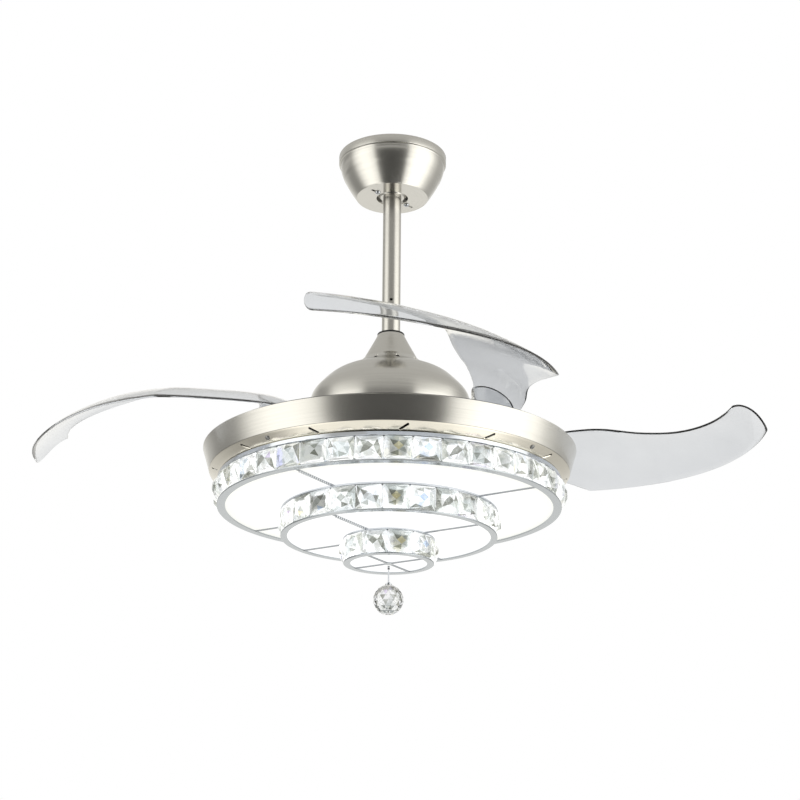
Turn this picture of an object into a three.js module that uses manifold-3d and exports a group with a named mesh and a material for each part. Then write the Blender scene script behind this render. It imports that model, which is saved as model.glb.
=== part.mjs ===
// A ceiling fan whose four clear blades fold in over the drum, above a three tier crystal light.
// Millimetres, +Z up. The origin is the centre of the bracket's top face, on the ceiling.
import * as THREE from "three";
import { mergeVertices } from "three/addons/utils/BufferGeometryUtils.js";
import Module from "manifold-3d";

const wasm = await Module();
wasm.setup();

// ---------------------------------------------------------------------------
// Driving dimensions
// ---------------------------------------------------------------------------

const gap = 0.3; // between pieces that touch
const sheet = 1.2; // spun and pressed steel

const canopy = {
  radius: 76,
  bandHeight: 12,
  bandStep: 2.4, // how far the bowl starts inside the band
  groove: 3, // height of the step between band and bowl
  height: 63,
  bottomRadius: 51.1,
  holeRadius: 22.3,
};
const canopyScrew = { angles: [-135, 45], radius: 1.9, headRadius: 4, headHeight: 2.4, ballGap: 2.5 };
const canopySlot = { length: 9, width: 3.4, offset: 7.5 };

const bracket = { length: 108, width: 38, thickness: 2, legOffset: 45, legWidth: 24 };
const bracketSeat = { height: 6, margin: 4.5, overlap: 3 };
const bracketSlot = { offset: 27, length: 18, width: 7 };
const seatMouth = 30; // the side opening that the rod enters by
const receiver = { length: 74, width: 32, height: 14 };

const ball = { radius: 26, depth: 42, topCut: 20, bottomCut: 20 };
const ballPinRadius = 3;
const ballPinLength = 44.2;
const rod = { radius: 12.7, wall: 1.7, wireHole: 4, wireHoleHeight: 50, endDepth: 2 };
const rodDrop = 271.9; // ceiling to the top lip of the dome
const domeRise = 169.7; // top lip of the dome to the rim of the drum

const dome = { lipGap: 1, skirtRadius: 112.5, skirtHeight: 8, ventCount: 10, ventCircle: 49 };
// From the neck to the shoulder: how far beyond the lip's radius, and how far under the lip
const domeBends = [
  [2.6, 10],
  [7, 21],
  [12, 31],
  [21, 35],
  [44, 45],
  [63, 57],
  [77, 71],
  [87, 88],
];
const domeShoulder = { inset: 1.5, depth: 110, end: 126 };
const ventSlot = { length: 15, width: 3.4, lean: 35 };
const firstVentAngle = -78.4;
const gasketHeight = 2.7;

const coupling = { wall: 3.6, lipDepth: 6.7, bottom: 92, flangeRadius: 37, flangeThickness: 3 };
const rodInCoupling = 39; // how deep the rod stands in it
const shaftStop = 8; // between the rod's lower end and the shaft
const yokeBolt = { depth: 15, radius: 3, headRadius: 5.4, headHeight: 3.4, threadEnd: 2 };

const shaft = { radius: 10, bore: 7, shoulderRadius: 14, shoulderHeight: 3, beyondNut: 0.1 };
const nut = { radius: 16, height: 8 };
const bearing = { radius: 16.7, height: 9.5, play: 0.15 };
const stator = { radius: 70, bottom: 36, height: 22, slotCount: 12, coreRadius: 32, toothWidth: 10, shoe: 7 };
const statorOpening = 4; // between two tooth shoes
const winding = { coreGap: 2, shoeGap: 1, overhang: 7, inSlot: 6, slotEnds: 12, slotShift: 3 };
const magnet = { thickness: 5, airGap: 1, height: 30 };
const rotorShell = { wall: 2.6, roomBelow: 4.1, roomAbove: 5, hubWall: 3, hubLip: 12, lipThickness: 2 };
const rotorHub = { below: 4, seatDepth: 8, above: 12, inside: 3 };

const drum = { rimRadius: 250, taper: 9, height: 31.2, flange: 7 };
const pan = { slope: 12.5, depth: 41.6, flange: 6 };
const panSlot = { count: 12, length: 13, width: 3, lean: 40, first: -87, inset: 1 }; // lean off the rim
const panPlay = 0.5;
const driver = { length: 130, width: 42, height: 17, offset: 118 };

const bladeTeeth = 12;
const ringTeeth = 52; // a multiple of the number of blades
const tooth = { addendum: 0.5, dedendum: 0.72, backlash: 0.22, tipShare: 0.5, footShare: 1.5 }; // in modules
const gearWallGap = 4.5; // from a blade gear's teeth to the carrier's wall
const gearThickness = 4;
const gearTop = -3;
const gearRing = { width: 10, play: 1.2, railWidth: 2.8, railDrop: 0.5, seatInset: 1 };

const carrier = { floor: -17, thickness: 3, drumGap: 3, wall: 2.5, hatRadius: 80, hubGap: 1 };
const cover = { drumGap: 2.8, hatGap: 4, hubGap: 0.8, thickness: 4, top: 2 };
const hub = { radius: 24, top: 5, stubRadius: 6 };
const spring = { wire: 3, play: 0.2 };

const bladeCount = 4;
const firstBladeAngle = 42.8;
const foldAngle = 75; // from folded to spread
const bladeThickness = 2.6;
const footRadius = 27;
const footWall = 3;
const footHoleRadius = 8;
const tipLength = 13;

// The folded blade lies round the dome. Each row is an angle from the pivot, clockwise from above,
// then a distance outside the pivots' circle and a height over the drum's rim.
const bladeLeading = [
  [-8, -9, 33],
  [0, -26, 43.5],
  [12, -48, 52],
  [26, -66, 57],
  [42, -72, 60],
  [60, -63, 59.5],
  [80, -37, 50],
  [96, -12, 43.5],
  [112, 11, 42],
  [130, 34, 45],
];
const bladeCorner = 42; // where the root edge meets the trailing edge
const bladeRoot = [
  [-8, 5, 27],
  [0, 27, 14],
  [12, 24, 15],
  [25, 18, 18],
  [34, 30, 16],
  [42, 56, 10],
];
const bladeTrailing = [
  [42, 56, 10],
  [60, 54, 8.5],
  [80, 52.5, 6],
  [96, 54.5, 5],
  [112, 62, 7],
  [130, 74, 11],
];
const bladeCamber = [
  [-8, 0],
  [26, 5.5],
  [60, 9],
  [96, 9.3],
  [130, 8],
];

// Each tier of the light hangs under the one above, below by the first number. Radius is its wall's.
const upperTier = {
  below: 0.3,
  radius: 221,
  height: 37.2,
  rim: 5,
  tileDepth: 7,
  proud: 8.5,
  lip: 2,
  post: 0,
};
const middleTier = {
  below: 1.7,
  radius: 139,
  height: 36.4,
  rim: 2.5,
  tileDepth: 3.6,
  proud: 5.6,
  lip: 3,
  post: 12,
};
const lowerTier = {
  below: 0.8,
  radius: 54.5,
  height: 34.1,
  rim: 2,
  tileDepth: 4.5,
  proud: 7,
  lip: 2.5,
  post: 9,
};
const tileCounts = [40, 26, 11];
const firstSeams = [-91.55, -93.2, -91.6]; // angles
const tierFlange = 2; // how far a tier's top plate reaches past the backs of its crystals
const nutHoleGap = 2; // round the shaft nut, in the upper tier
const frameThickness = 1.6;
const frameEdge = 1; // how far a bottom frame reaches past the crystals' backs
const diffuserThickness = 2;
const board = { thickness: 1.6, inset: 18, holeGap: 3 };
const tableShare = 0.52; // the flat table of each crystal, as a share of the tile
const trim = { width: 3, angles: [-121.5, -31.5, 58.5, 148.5], hubWidth: 4, overlap: 1, underLip: 2 };
const postBore = 5;

const pendant = { hook: 5, eyeRadius: 2.6, pinRadius: 0.8, rodRadius: 0.9, ballDrop: 47.9, ballRadius: 20 };
const ear = { width: 6, thickness: 1.4, spacing: 3.6, underPin: 2.5 };
const pendantCap = { radius: 4.4, height: 3.5 };
const ballSides = 10;
const ballRows = 6;

// Sides of the round pieces, by their size
const fewSides = 12;
const someSides = 20;
const moreSides = 24;
const manySides = 28;
const bandSides = 44;
const cutPast = 1; // how far a cutter reaches past the faces that it cuts

// ---------------------------------------------------------------------------
// Worked out from them
// ---------------------------------------------------------------------------

const degree = Math.PI / 180;
const rimDepth = rodDrop + domeRise; // from the ceiling to the drum's rim
const ballHeight = rimDepth - ball.depth; // of the ball's centre, over the rim
const screwCircle = ball.radius + canopyScrew.ballGap;
const seatRadius = screwCircle + bracketSeat.margin;

const couplingRadius = rod.radius + gap + coupling.wall;
const couplingTop = domeRise - coupling.lipDepth;
const lipRadius = couplingRadius + dome.lipGap + sheet;
const yokeBoltHeight = couplingTop - yokeBolt.depth;
const rodSocketFloor = couplingTop - rodInCoupling;
const rodTop = ballHeight + ball.topCut - rod.endDepth;
const rodBottom = rodSocketFloor + gap;

const panFloorTop = -pan.depth + sheet;
const shaftTop = rodSocketFloor - shaftStop;
const shaftBottom = -pan.depth - gap - nut.height - shaft.beyondNut;

const drumFoot = drum.rimRadius - drum.taper;
const panEdge = drumFoot - panPlay;
const panFloorRadius = panEdge - pan.slope;
const carrierRadius = drumFoot - carrier.drumGap;
const coverRadius = drum.rimRadius - sheet - cover.drumGap;
const gearBottom = gearTop - gearThickness;
const gearReach = carrierRadius - carrier.wall - gearWallGap; // from the fan's axis to the teeth
const module = gearReach / ((bladeTeeth + ringTeeth) / 2 + bladeTeeth / 2 + tooth.addendum);
const pivotRadius = (module * (bladeTeeth + ringTeeth)) / 2;

/** The tiers with their places under the drum's rim. */
const tiers = [];
[upperTier, middleTier, lowerTier].forEach((tier, index) => {
  const above = index === 0 ? pan.depth : tiers[index - 1].bottom;
  const top = above + tier.below;
  tiers.push({
    ...tier,
    top,
    bottom: top + tier.height,
    tiles: tileCounts[index],
    firstSeam: firstSeams[index],
    tileBase: tier.radius + tier.tileDepth,
  });
});

// ---------------------------------------------------------------------------
// Finishes
// ---------------------------------------------------------------------------

const finish = (color, roughness, metalness, opacity = 1) =>
  new THREE.MeshStandardMaterial({ color, roughness, metalness, opacity, transparent: opacity < 1 });
const looks = {
  nickel: finish(0xb3afa6, 0.32, 1),
  polished: finish(0xd9d3c4, 0.15, 1),
  chrome: finish(0xdadde0, 0.08, 1),
  steel: finish(0x9a9a98, 0.35, 1),
  black: finish(0x161616, 0.5, 0),
  rubber: finish(0x0d0d0d, 0.8, 0),
  white: finish(0xf2f2ee, 0.5, 0),
  copper: finish(0xa8623a, 0.4, 1),
  clear: finish(0xc3c8cc, 0.1, 0, 0.45),
  crystal: finish(0xe8edf0, 0.05, 0, 0.6),
  glow: finish(0xffffff, 0.6, 0),
  nylon: finish(0x202124, 0.55, 0),
  magnet: finish(0x3a3a3c, 0.6, 0.3),
};

// ---------------------------------------------------------------------------
// Ways of making a solid
// ---------------------------------------------------------------------------

/** A three.js geometry as a solid that can be cut and joined. */
function solid(geometry) {
  const bare = geometry.clone();
  bare.deleteAttribute("normal");
  bare.deleteAttribute("uv");
  const merged = mergeVertices(bare, 1e-4);
  const corners = merged.index.array;
  const kept = [];
  for (let i = 0; i < corners.length; i += 3) {
    const [a, b, c] = corners.slice(i, i + 3);
    if (a !== b && b !== c && c !== a) kept.push(a, b, c);
  }
  return new wasm.Manifold(
    new wasm.Mesh({
      numProp: 3,
      vertProperties: Float32Array.from(merged.attributes.position.array),
      triVerts: Uint32Array.from(kept),
    }),
  );
}

/** A solid back as a three.js geometry. */
function geometryOf(body) {
  const mesh = body.getMesh();
  const geometry = new THREE.BufferGeometry();
  geometry.setAttribute("position", new THREE.BufferAttribute(mesh.vertProperties, 3));
  geometry.setIndex(new THREE.BufferAttribute(mesh.triVerts, 1));
  geometry.computeVertexNormals();
  return geometry;
}

/** A ring or a disc turned about Z from a profile of [radius, height] points, closed on itself. */
function turned(profile, segments = manySides) {
  const area = profile.reduce((sum, [r, z], i) => {
    const [nextR, nextZ] = profile[(i + 1) % profile.length];
    return sum + r * nextZ - nextR * z;
  }, 0);
  const ordered = area > 0 ? profile : [...profile].reverse();
  const start = ordered.findIndex(([r], i) => r === 0 && ordered.at(i - 1)[0] === 0);
  const turnedRound = start > 0 ? [...ordered.slice(start), ...ordered.slice(0, start)] : ordered;
  const points = turnedRound.map(([r, z]) => new THREE.Vector2(r, z));
  if (start < 0) points.push(points[0].clone());
  return solid(new THREE.LatheGeometry(points, segments).rotateX(Math.PI / 2));
}

/** A flat ring between two radii, from one height to another. */
function ring(inner, outer, low, high, segments = manySides) {
  return turned([[inner, low], [outer, low], [outer, high], [inner, high]], segments);
}

/** A round bar or disc along Z. */
function disc(radius, low, high, segments = someSides) {
  return turned([[0, low], [radius, low], [radius, high], [0, high]], segments);
}

/** A round bar along X, centred on x, y and z. */
function crossBar(radius, length, x, y, z, segments = fewSides) {
  const bar = new THREE.CylinderGeometry(radius, radius, length, segments);
  return solid(bar.rotateZ(Math.PI / 2).translate(x, y, z));
}

/** A box centred on x and y, from one height to another. */
function block(length, width, low, high, x = 0, y = 0) {
  return solid(new THREE.BoxGeometry(length, width, high - low).translate(x, y, (low + high) / 2));
}

/** A flat outline of [x, y] points, made solid from one height to another. */
function plate(outline, low, high) {
  const shape = new THREE.Shape(outline.map(([x, y]) => new THREE.Vector2(x, y)));
  const options = { depth: high - low, bevelEnabled: false };
  return solid(new THREE.ExtrudeGeometry(shape, options).translate(0, 0, low));
}

const joined = (first, ...others) => others.reduce((body, other) => body.add(other), first);
const cut = (first, ...others) => others.reduce((body, other) => body.subtract(other), first);
const polar = (radius, angle) => [radius * Math.cos(angle * degree), radius * Math.sin(angle * degree)];

/** The point on the profile at a radius, by its height, between two neighbouring points. */
function heightAt(profile, radius) {
  const i = profile.findIndex(([r], k) => k > 0 && radius <= r);
  const [[r0, z0], [r1, z1]] = [profile[i - 1], profile[i]];
  return z0 + ((z1 - z0) * (radius - r0)) / (r1 - r0);
}

/** The inside of a thin shell: its outside profile moved in by the sheet, square to each stretch. */
function inside(profile, thickness) {
  return profile.map(([r, z], i) => {
    const [r0, z0] = profile[Math.max(i - 1, 0)];
    const [r1, z1] = profile[Math.min(i + 1, profile.length - 1)];
    const run = Math.hypot(r1 - r0, z1 - z0);
    return [r + (thickness * (z1 - z0)) / run, z - (thickness * (r1 - r0)) / run];
  });
}

/** A smooth value at an angle, through rows that start with their angle. */
function smooth(rows, angle, column) {
  const next = rows.findIndex((row) => row[0] > angle);
  const i = next < 0 ? rows.length - 2 : Math.max(next - 1, 0);
  const slope = (k) => {
    const [before, after] = [rows[Math.max(k - 1, 0)], rows[Math.min(k + 1, rows.length - 1)]];
    return (after[column] - before[column]) / (after[0] - before[0]);
  };
  const span = rows[i + 1][0] - rows[i][0];
  const t = (angle - rows[i][0]) / span;
  const [a, b] = [rows[i][column], rows[i + 1][column]];
  const [da, db] = [slope(i) * span, slope(i + 1) * span];
  return a + t * (da + t * (3 * (b - a) - 2 * da - db + t * (2 * (a - b) + da + db)));
}

// ---------------------------------------------------------------------------
// The scene graph
// ---------------------------------------------------------------------------

const fan = new THREE.Group();
const hanging = new THREE.Group(); // its heights are measured from the drum's rim
hanging.position.z = -rimDepth;
fan.add(hanging);

function piece(parent, name, body, look) {
  const mesh = new THREE.Mesh(geometryOf(body), look);
  mesh.name = name;
  parent.add(mesh);
}

// ---------------------------------------------------------------------------
// Ceiling side
// ---------------------------------------------------------------------------

const seatTop = -ball.depth - ball.bottomCut / 2 + bracketSeat.height / 2;
const seatBottom = seatTop - bracketSeat.height;
const canopyScrewPlaces = canopyScrew.angles.map((angle) => polar(screwCircle, angle));

function ceilingBracket() {
  const socket = ball.radius + gap;
  const seatRadiusAt = (z) => Math.sqrt(socket ** 2 - (z + ball.depth) ** 2);
  const middle = (seatTop + seatBottom) / 2;
  const seat = turned([
    [seatRadiusAt(seatBottom), seatBottom],
    [seatRadius, seatBottom],
    [seatRadius, seatTop],
    [seatRadiusAt(seatTop), seatTop],
    [seatRadiusAt(middle), middle],
  ]);
  const [cutLow, cutHigh] = [seatBottom - cutPast, seatTop + cutPast];
  const mouth = block(seatMouth, seatRadius * 2, cutLow, cutHigh, 0, seatRadius);
  const screwHoles = canopyScrewPlaces.map(([x, y]) =>
    disc(canopyScrew.radius + gap, cutLow, cutHigh, fewSides).translate([x, y, 0]),
  );
  const { length, width, offset } = bracketSlot;
  const slots = [-1, 1].map((side) =>
    block(length, width, -bracket.thickness - cutPast, cutPast, side * offset),
  );
  const top = cut(block(bracket.length, bracket.width, -bracket.thickness, 0), ...slots);
  const { legOffset, legWidth, thickness } = bracket;
  const toSeat = seatRadius - bracketSeat.overlap;
  const footMiddle = (legOffset + toSeat) / 2;
  const legs = [-1, 1].map((side) =>
    joined(
      block(thickness, legWidth, seatBottom, -thickness / 2, side * legOffset),
      block(legOffset - toSeat, legWidth, seatBottom, seatBottom + thickness, side * footMiddle),
    ),
  );
  return joined(top, ...legs, cut(seat, mouth, ...screwHoles));
}

function canopyShell() {
  const bandEnd = -canopy.bandHeight;
  const bowlTop = bandEnd - canopy.groove;
  const bowlRadius = canopy.radius - canopy.bandStep;
  const bowlPoint = (share) => {
    const radius = bowlRadius - (bowlRadius - canopy.bottomRadius) * share ** 1.5;
    return [radius, bowlTop - (canopy.height + bowlTop) * share];
  };
  const outside = [
    [canopy.radius, 0],
    [canopy.radius, bandEnd],
    [bowlRadius + canopy.bandStep / 4, bandEnd - canopy.groove / 3],
    ...[0, 0.3, 0.65, 1].map(bowlPoint),
    [canopy.holeRadius, -canopy.height],
  ];
  const inner = outside.map(([r, z], i) => {
    if (i === 0) return [r - sheet, 0];
    if (i < outside.length - 2) return [r - sheet, z + sheet * 0.4];
    return [i === outside.length - 1 ? r : r - sheet, z + sheet];
  });
  const shell = turned([...outside, ...inner.reverse()]);
  const [cutLow, cutHigh] = [-canopy.height - cutPast, -canopy.height + sheet + cutPast];
  const holes = canopyScrewPlaces.map(([x, y]) =>
    disc(canopyScrew.radius + gap, cutLow, cutHigh, fewSides).translate([x, y, 0]),
  );
  const slots = canopyScrew.angles.map((angle) =>
    block(canopySlot.length, canopySlot.width, cutLow, cutHigh, screwCircle + canopySlot.offset)
      .rotate([0, 0, angle]),
  );
  return cut(shell, ...holes, ...slots);
}

function canopyScrewBody() {
  const low = -canopy.height - gap;
  return joined(
    disc(canopyScrew.headRadius, low - canopyScrew.headHeight, low),
    disc(canopyScrew.radius, low - canopyScrew.headHeight / 2, seatTop - sheet, fewSides),
  );
}

piece(fan, "ceiling_bracket", ceilingBracket(), looks.steel);
piece(fan, "canopy_shell", canopyShell(), looks.nickel);
canopyScrewPlaces.forEach(([x, y], i) =>
  piece(fan, "canopy_screw_" + (i + 1), canopyScrewBody().translate([x, y, 0]), looks.chrome),
);
const receiverTop = -bracket.thickness - gap;
const receiverBody = block(receiver.length, receiver.width, receiverTop - receiver.height, receiverTop);
piece(fan, "receiver_box", receiverBody, looks.white);

// ---------------------------------------------------------------------------
// Hanger ball, downrod and coupling
// ---------------------------------------------------------------------------

function hangerBall() {
  const steps = 4;
  const profile = [];
  for (let i = 0; i <= steps; i++) {
    const z = -ball.bottomCut + ((ball.topCut + ball.bottomCut) * i) / steps;
    profile.push([Math.sqrt(ball.radius ** 2 - z ** 2), z]);
  }
  const bore = rod.radius + gap;
  const body = turned([...profile, [bore, ball.topCut], [bore, -ball.bottomCut]], moreSides);
  const pinHole = crossBar(ballPinRadius + gap, ball.radius * 3, 0, 0, 0);
  return cut(body, pinHole).translate([0, 0, ballHeight]);
}

function downrod() {
  const tube = ring(rod.radius - rod.wall, rod.radius, rodBottom, rodTop, moreSides);
  const ballHole = crossBar(ballPinRadius + gap, rod.radius * 3, 0, 0, ballHeight);
  const boltHole = crossBar(yokeBolt.radius + gap, rod.radius * 3, 0, 0, yokeBoltHeight);
  const wireHole = crossBar(rod.wireHole / 2, rod.radius, 0, 0, 0)
    .rotate([0, 0, 90])
    .translate([0, -rod.radius, domeRise + rod.wireHoleHeight]);
  return cut(tube, ballHole, boltHole, wireHole);
}

/** The dome's outside, from its top lip out and down to its skirt. */
const domeOutside = [
  [lipRadius, domeRise],
  ...domeBends.map(([beyond, depth]) => [lipRadius + beyond, domeRise - depth]),
  [dome.skirtRadius - domeShoulder.inset, domeRise - domeShoulder.depth],
  [dome.skirtRadius, domeRise - domeShoulder.end],
  [dome.skirtRadius, dome.skirtHeight],
];
const domeInside = inside(domeOutside, sheet);

function yokeCoupling() {
  const flangeTop = heightAt(domeInside, coupling.flangeRadius) - gap;
  const body = joined(
    disc(couplingRadius, coupling.bottom, couplingTop, moreSides),
    disc(coupling.flangeRadius, flangeTop - coupling.flangeThickness, flangeTop, moreSides),
  );
  return cut(
    body,
    disc(rod.radius + gap, rodSocketFloor, couplingTop + cutPast, moreSides),
    disc(shaft.radius + gap, coupling.bottom - cutPast, shaftTop + gap, moreSides),
    disc(shaft.bore, shaftTop, rodSocketFloor + cutPast),
    crossBar(yokeBolt.radius + gap, couplingRadius * 3, 0, 0, yokeBoltHeight),
  );
}

function yokeBoltBody() {
  const { radius, headRadius, headHeight, threadEnd } = yokeBolt;
  const faceX = couplingRadius + gap;
  const reach = 2 * (faceX + headHeight) + threadEnd;
  return joined(
    crossBar(radius, reach, -faceX - headHeight + reach / 2, 0, yokeBoltHeight),
    crossBar(headRadius, headHeight, -faceX - headHeight / 2, 0, yokeBoltHeight, 6),
  );
}

function yokeNutBody() {
  const x = couplingRadius + gap + yokeBolt.headHeight / 2;
  return cut(
    crossBar(yokeBolt.headRadius, yokeBolt.headHeight, x, 0, yokeBoltHeight, 6),
    crossBar(yokeBolt.radius + gap, yokeBolt.headHeight * 2, x, 0, yokeBoltHeight),
  );
}

function domeHousing() {
  const shell = turned([...domeOutside, ...[...domeInside].reverse()]);
  const height = heightAt(domeOutside, dome.ventCircle);
  const vent = new THREE.BoxGeometry(ventSlot.length, ventSlot.width, 16);
  const slot = solid(vent.rotateZ(ventSlot.lean * degree).translate(dome.ventCircle, 0, height));
  const slots = Array.from({ length: dome.ventCount }, (_, i) =>
    slot.rotate([0, 0, firstVentAngle + (360 * i) / dome.ventCount]),
  );
  return cut(shell, ...slots);
}

piece(hanging, "hanger_ball", hangerBall(), looks.nickel);
piece(hanging, "ball_pin", crossBar(ballPinRadius, ballPinLength, 0, 0, ballHeight), looks.steel);
piece(hanging, "downrod", downrod(), looks.nickel);
piece(hanging, "yoke_coupling", yokeCoupling(), looks.steel);
piece(hanging, "yoke_bolt", yokeBoltBody(), looks.steel);
piece(hanging, "yoke_nut", yokeNutBody(), looks.steel);
const gasketBase = domeRise + gap;
const gasket = ring(rod.radius + gap, lipRadius, gasketBase, gasketBase + gasketHeight, moreSides);
piece(hanging, "gasket_ring", gasket, looks.rubber);
piece(hanging, "dome_housing", domeHousing(), looks.nickel);

// ---------------------------------------------------------------------------
// Motor
// ---------------------------------------------------------------------------

const shellRadius = stator.radius + magnet.airGap + magnet.thickness + gap; // inside the rotor's wall
const rotorRadius = shellRadius + rotorShell.wall;
const bearingSeat = bearing.radius + gap;
const hubRadius = bearingSeat + rotorShell.hubWall;
const statorTop = stator.bottom + stator.height;
const rotorFloor = stator.bottom - gap - winding.overhang - rotorShell.roomBelow - rotorShell.wall;
const rotorLid = statorTop + gap + winding.overhang + rotorShell.roomAbove;
const lowerHubFloor = rotorFloor - rotorHub.below + rotorShell.lipThickness;
const upperHubTop = rotorLid + rotorHub.above;
const upperHubCeiling = upperHubTop - rotorShell.lipThickness;

function motorShaft() {
  const shoulderTop = panFloorTop + gap + shaft.shoulderHeight;
  const body = joined(
    disc(shaft.radius, shaftBottom, shaftTop, moreSides),
    disc(shaft.shoulderRadius, shoulderTop - shaft.shoulderHeight, shoulderTop, moreSides),
  );
  return cut(body, disc(shaft.bore, shaftBottom - cutPast, shaftTop + cutPast));
}

function shaftNut() {
  const top = -pan.depth - gap;
  const hexagon = disc(nut.radius, top - nut.height, top, 6);
  return cut(hexagon, disc(shaft.radius + gap, top - nut.height - cutPast, top + cutPast));
}

function statorCore() {
  const { radius, bottom, slotCount, coreRadius, toothWidth, shoe } = stator;
  const [cutLow, cutHigh] = [bottom - cutPast, statorTop + cutPast];
  const middle = (radius + coreRadius) / 2 - 1; // a tooth starts inside the core and ends inside its shoe
  const teeth = Array.from({ length: slotCount }, (_, i) =>
    block(radius - coreRadius, toothWidth, bottom, statorTop, middle).rotate([0, 0, (360 * i) / slotCount]),
  );
  const rim = ring(radius - shoe, radius, bottom, statorTop);
  const openings = teeth.map((_, i) =>
    block(2 * shoe, statorOpening, cutLow, cutHigh, radius).rotate([0, 0, (360 * (i + 0.5)) / slotCount]),
  );
  const core = joined(disc(coreRadius, bottom, statorTop), ...teeth, cut(rim, ...openings));
  return cut(core, disc(shaft.radius + gap, cutLow, cutHigh));
}

function statorWinding() {
  const [low, high] = [stator.bottom - gap, statorTop + gap];
  const [inner, outer] = [stator.coreRadius + winding.coreGap, stator.radius - stator.shoe - winding.shoeGap];
  const middle = (inner + outer) / 2 + winding.slotShift;
  const reach = outer - inner - winding.slotEnds;
  const slotBars = Array.from({ length: stator.slotCount }, (_, i) =>
    block(reach, winding.inSlot, low - cutPast, high + cutPast, middle)
      .rotate([0, 0, (360 * (i + 0.5)) / stator.slotCount]),
  );
  return joined(
    ring(inner, outer, low - winding.overhang, low, moreSides),
    ring(inner, outer, high, high + winding.overhang, moreSides),
    ...slotBars,
  );
}

function rotorLowerShell() {
  const { wall, hubLip } = rotorShell;
  const under = rotorFloor - rotorHub.below;
  const seatTop = rotorFloor + rotorHub.seatDepth;
  return turned([
    [hubLip, under],
    [hubRadius, under],
    [hubRadius, rotorFloor],
    [rotorRadius, rotorFloor],
    [rotorRadius, rotorLid - gap],
    [shellRadius, rotorLid - gap],
    [shellRadius, rotorFloor + wall],
    [hubRadius, rotorFloor + wall],
    [hubRadius, seatTop],
    [bearingSeat, seatTop],
    [bearingSeat, lowerHubFloor],
    [hubLip, lowerHubFloor],
  ]);
}

function rotorUpperShell() {
  const { wall, hubLip } = rotorShell;
  return turned([
    [hubRadius, rotorLid],
    [rotorRadius, rotorLid],
    [rotorRadius, rotorLid + wall],
    [hubRadius, rotorLid + wall],
    [hubRadius, upperHubTop],
    [hubLip, upperHubTop],
    [hubLip, upperHubCeiling],
    [bearingSeat, upperHubCeiling],
    [bearingSeat, rotorLid - rotorHub.inside],
    [hubRadius, rotorLid - rotorHub.inside],
  ]);
}

const bearingBody = (base) =>
  ring(shaft.radius + bearing.play, bearing.radius, base, base + bearing.height, moreSides);
const magnetMiddle = (stator.bottom + statorTop) / 2;

piece(hanging, "motor_shaft", motorShaft(), looks.steel);
piece(hanging, "shaft_nut", shaftNut(), looks.steel);
piece(hanging, "stator_core", statorCore(), looks.steel);
piece(hanging, "stator_winding", statorWinding(), looks.copper);
piece(hanging, "rotor_lower_shell", rotorLowerShell(), looks.steel);
piece(hanging, "rotor_upper_shell", rotorUpperShell(), looks.steel);
piece(
  hanging,
  "magnet_ring",
  ring(
    stator.radius + magnet.airGap,
    shellRadius - gap,
    magnetMiddle - magnet.height / 2,
    magnetMiddle + magnet.height / 2,
  ),
  looks.magnet,
);
piece(hanging, "lower_bearing", bearingBody(lowerHubFloor + gap), looks.chrome);
piece(hanging, "upper_bearing", bearingBody(upperHubCeiling - gap - bearing.height), looks.chrome);

// ---------------------------------------------------------------------------
// Drum
// ---------------------------------------------------------------------------

function drumBand() {
  const foot = -drum.height;
  return turned([
    [drum.rimRadius - sheet, 0],
    [drum.rimRadius, 0],
    [drumFoot, foot],
    [drumFoot - drum.flange, foot],
    [drumFoot - drum.flange, foot + sheet],
    [drumFoot - sheet, foot + sheet],
  ], bandSides);
}

function drumPan() {
  const ledge = -drum.height - gap;
  const flangeEdge = panEdge - pan.flange;
  const body = turned([
    [shaft.radius + gap, -pan.depth],
    [panFloorRadius, -pan.depth],
    [panEdge, ledge],
    [flangeEdge, ledge],
    [flangeEdge, ledge - sheet],
    [panEdge - 2 * sheet, ledge - sheet],
    [panFloorRadius - sheet / 2, panFloorTop],
    [shaft.radius + gap, panFloorTop],
  ], bandSides);
  const middle = (panFloorRadius + panEdge) / 2 - panSlot.inset;
  const slot = new THREE.BoxGeometry(panSlot.width, panSlot.length, pan.depth - drum.height + 2 * cutPast);
  const slotBody = solid(slot);
  const slotHeight = -(pan.depth + drum.height) / 2;
  const slots = Array.from({ length: panSlot.count }, (_, i) => {
    const lean = i < panSlot.count / 2 ? -panSlot.lean : panSlot.lean; // the two halves mirror each other
    const leaned = slotBody.rotate([0, 0, lean]).translate([middle, 0, slotHeight]);
    return leaned.rotate([0, 0, panSlot.first + (360 * i) / panSlot.count]);
  });
  return cut(body, ...slots);
}

const driverLow = panFloorTop + gap;
piece(hanging, "drum_band", drumBand(), looks.nickel);
piece(hanging, "drum_pan", drumPan(), looks.polished);
piece(
  hanging,
  "driver_box",
  block(driver.length, driver.width, driverLow, driverLow + driver.height, 0, driver.offset),
  looks.white,
);

// ---------------------------------------------------------------------------
// Blade carrier, gears and blades
// ---------------------------------------------------------------------------

const bladeAngles = Array.from({ length: bladeCount }, (_, i) => firstBladeAngle + (360 * i) / bladeCount);
const pivots = bladeAngles.map((angle) => polar(pivotRadius, angle));
const ringPitch = (module * ringTeeth) / 2;
const ringInner = ringPitch - module * tooth.dedendum - gearRing.width;
const carrierTop = rotorFloor - gap;

/** The outline of a spur gear with straight flanks, with a tooth centred on its turn angle. */
function gearOutline(teeth, turn) {
  const pitch = (module * teeth) / 2;
  const step = 360 / teeth;
  const [low, high] = [pitch - module * tooth.dedendum, pitch + module * tooth.addendum];
  const half = step / 4 - ((tooth.backlash * module) / 2 / pitch) / degree;
  const tip = half * tooth.tipShare;
  const foot = Math.min(half * tooth.footShare, step / 2 - 0.5);
  const outline = [];
  for (let i = 0; i < teeth; i++) {
    const middle = turn + i * step;
    const corners = [[low, -foot], [high, -tip], [high, tip], [low, foot]];
    corners.forEach(([radius, offset]) => outline.push(polar(radius, middle + offset)));
  }
  return outline;
}

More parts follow.
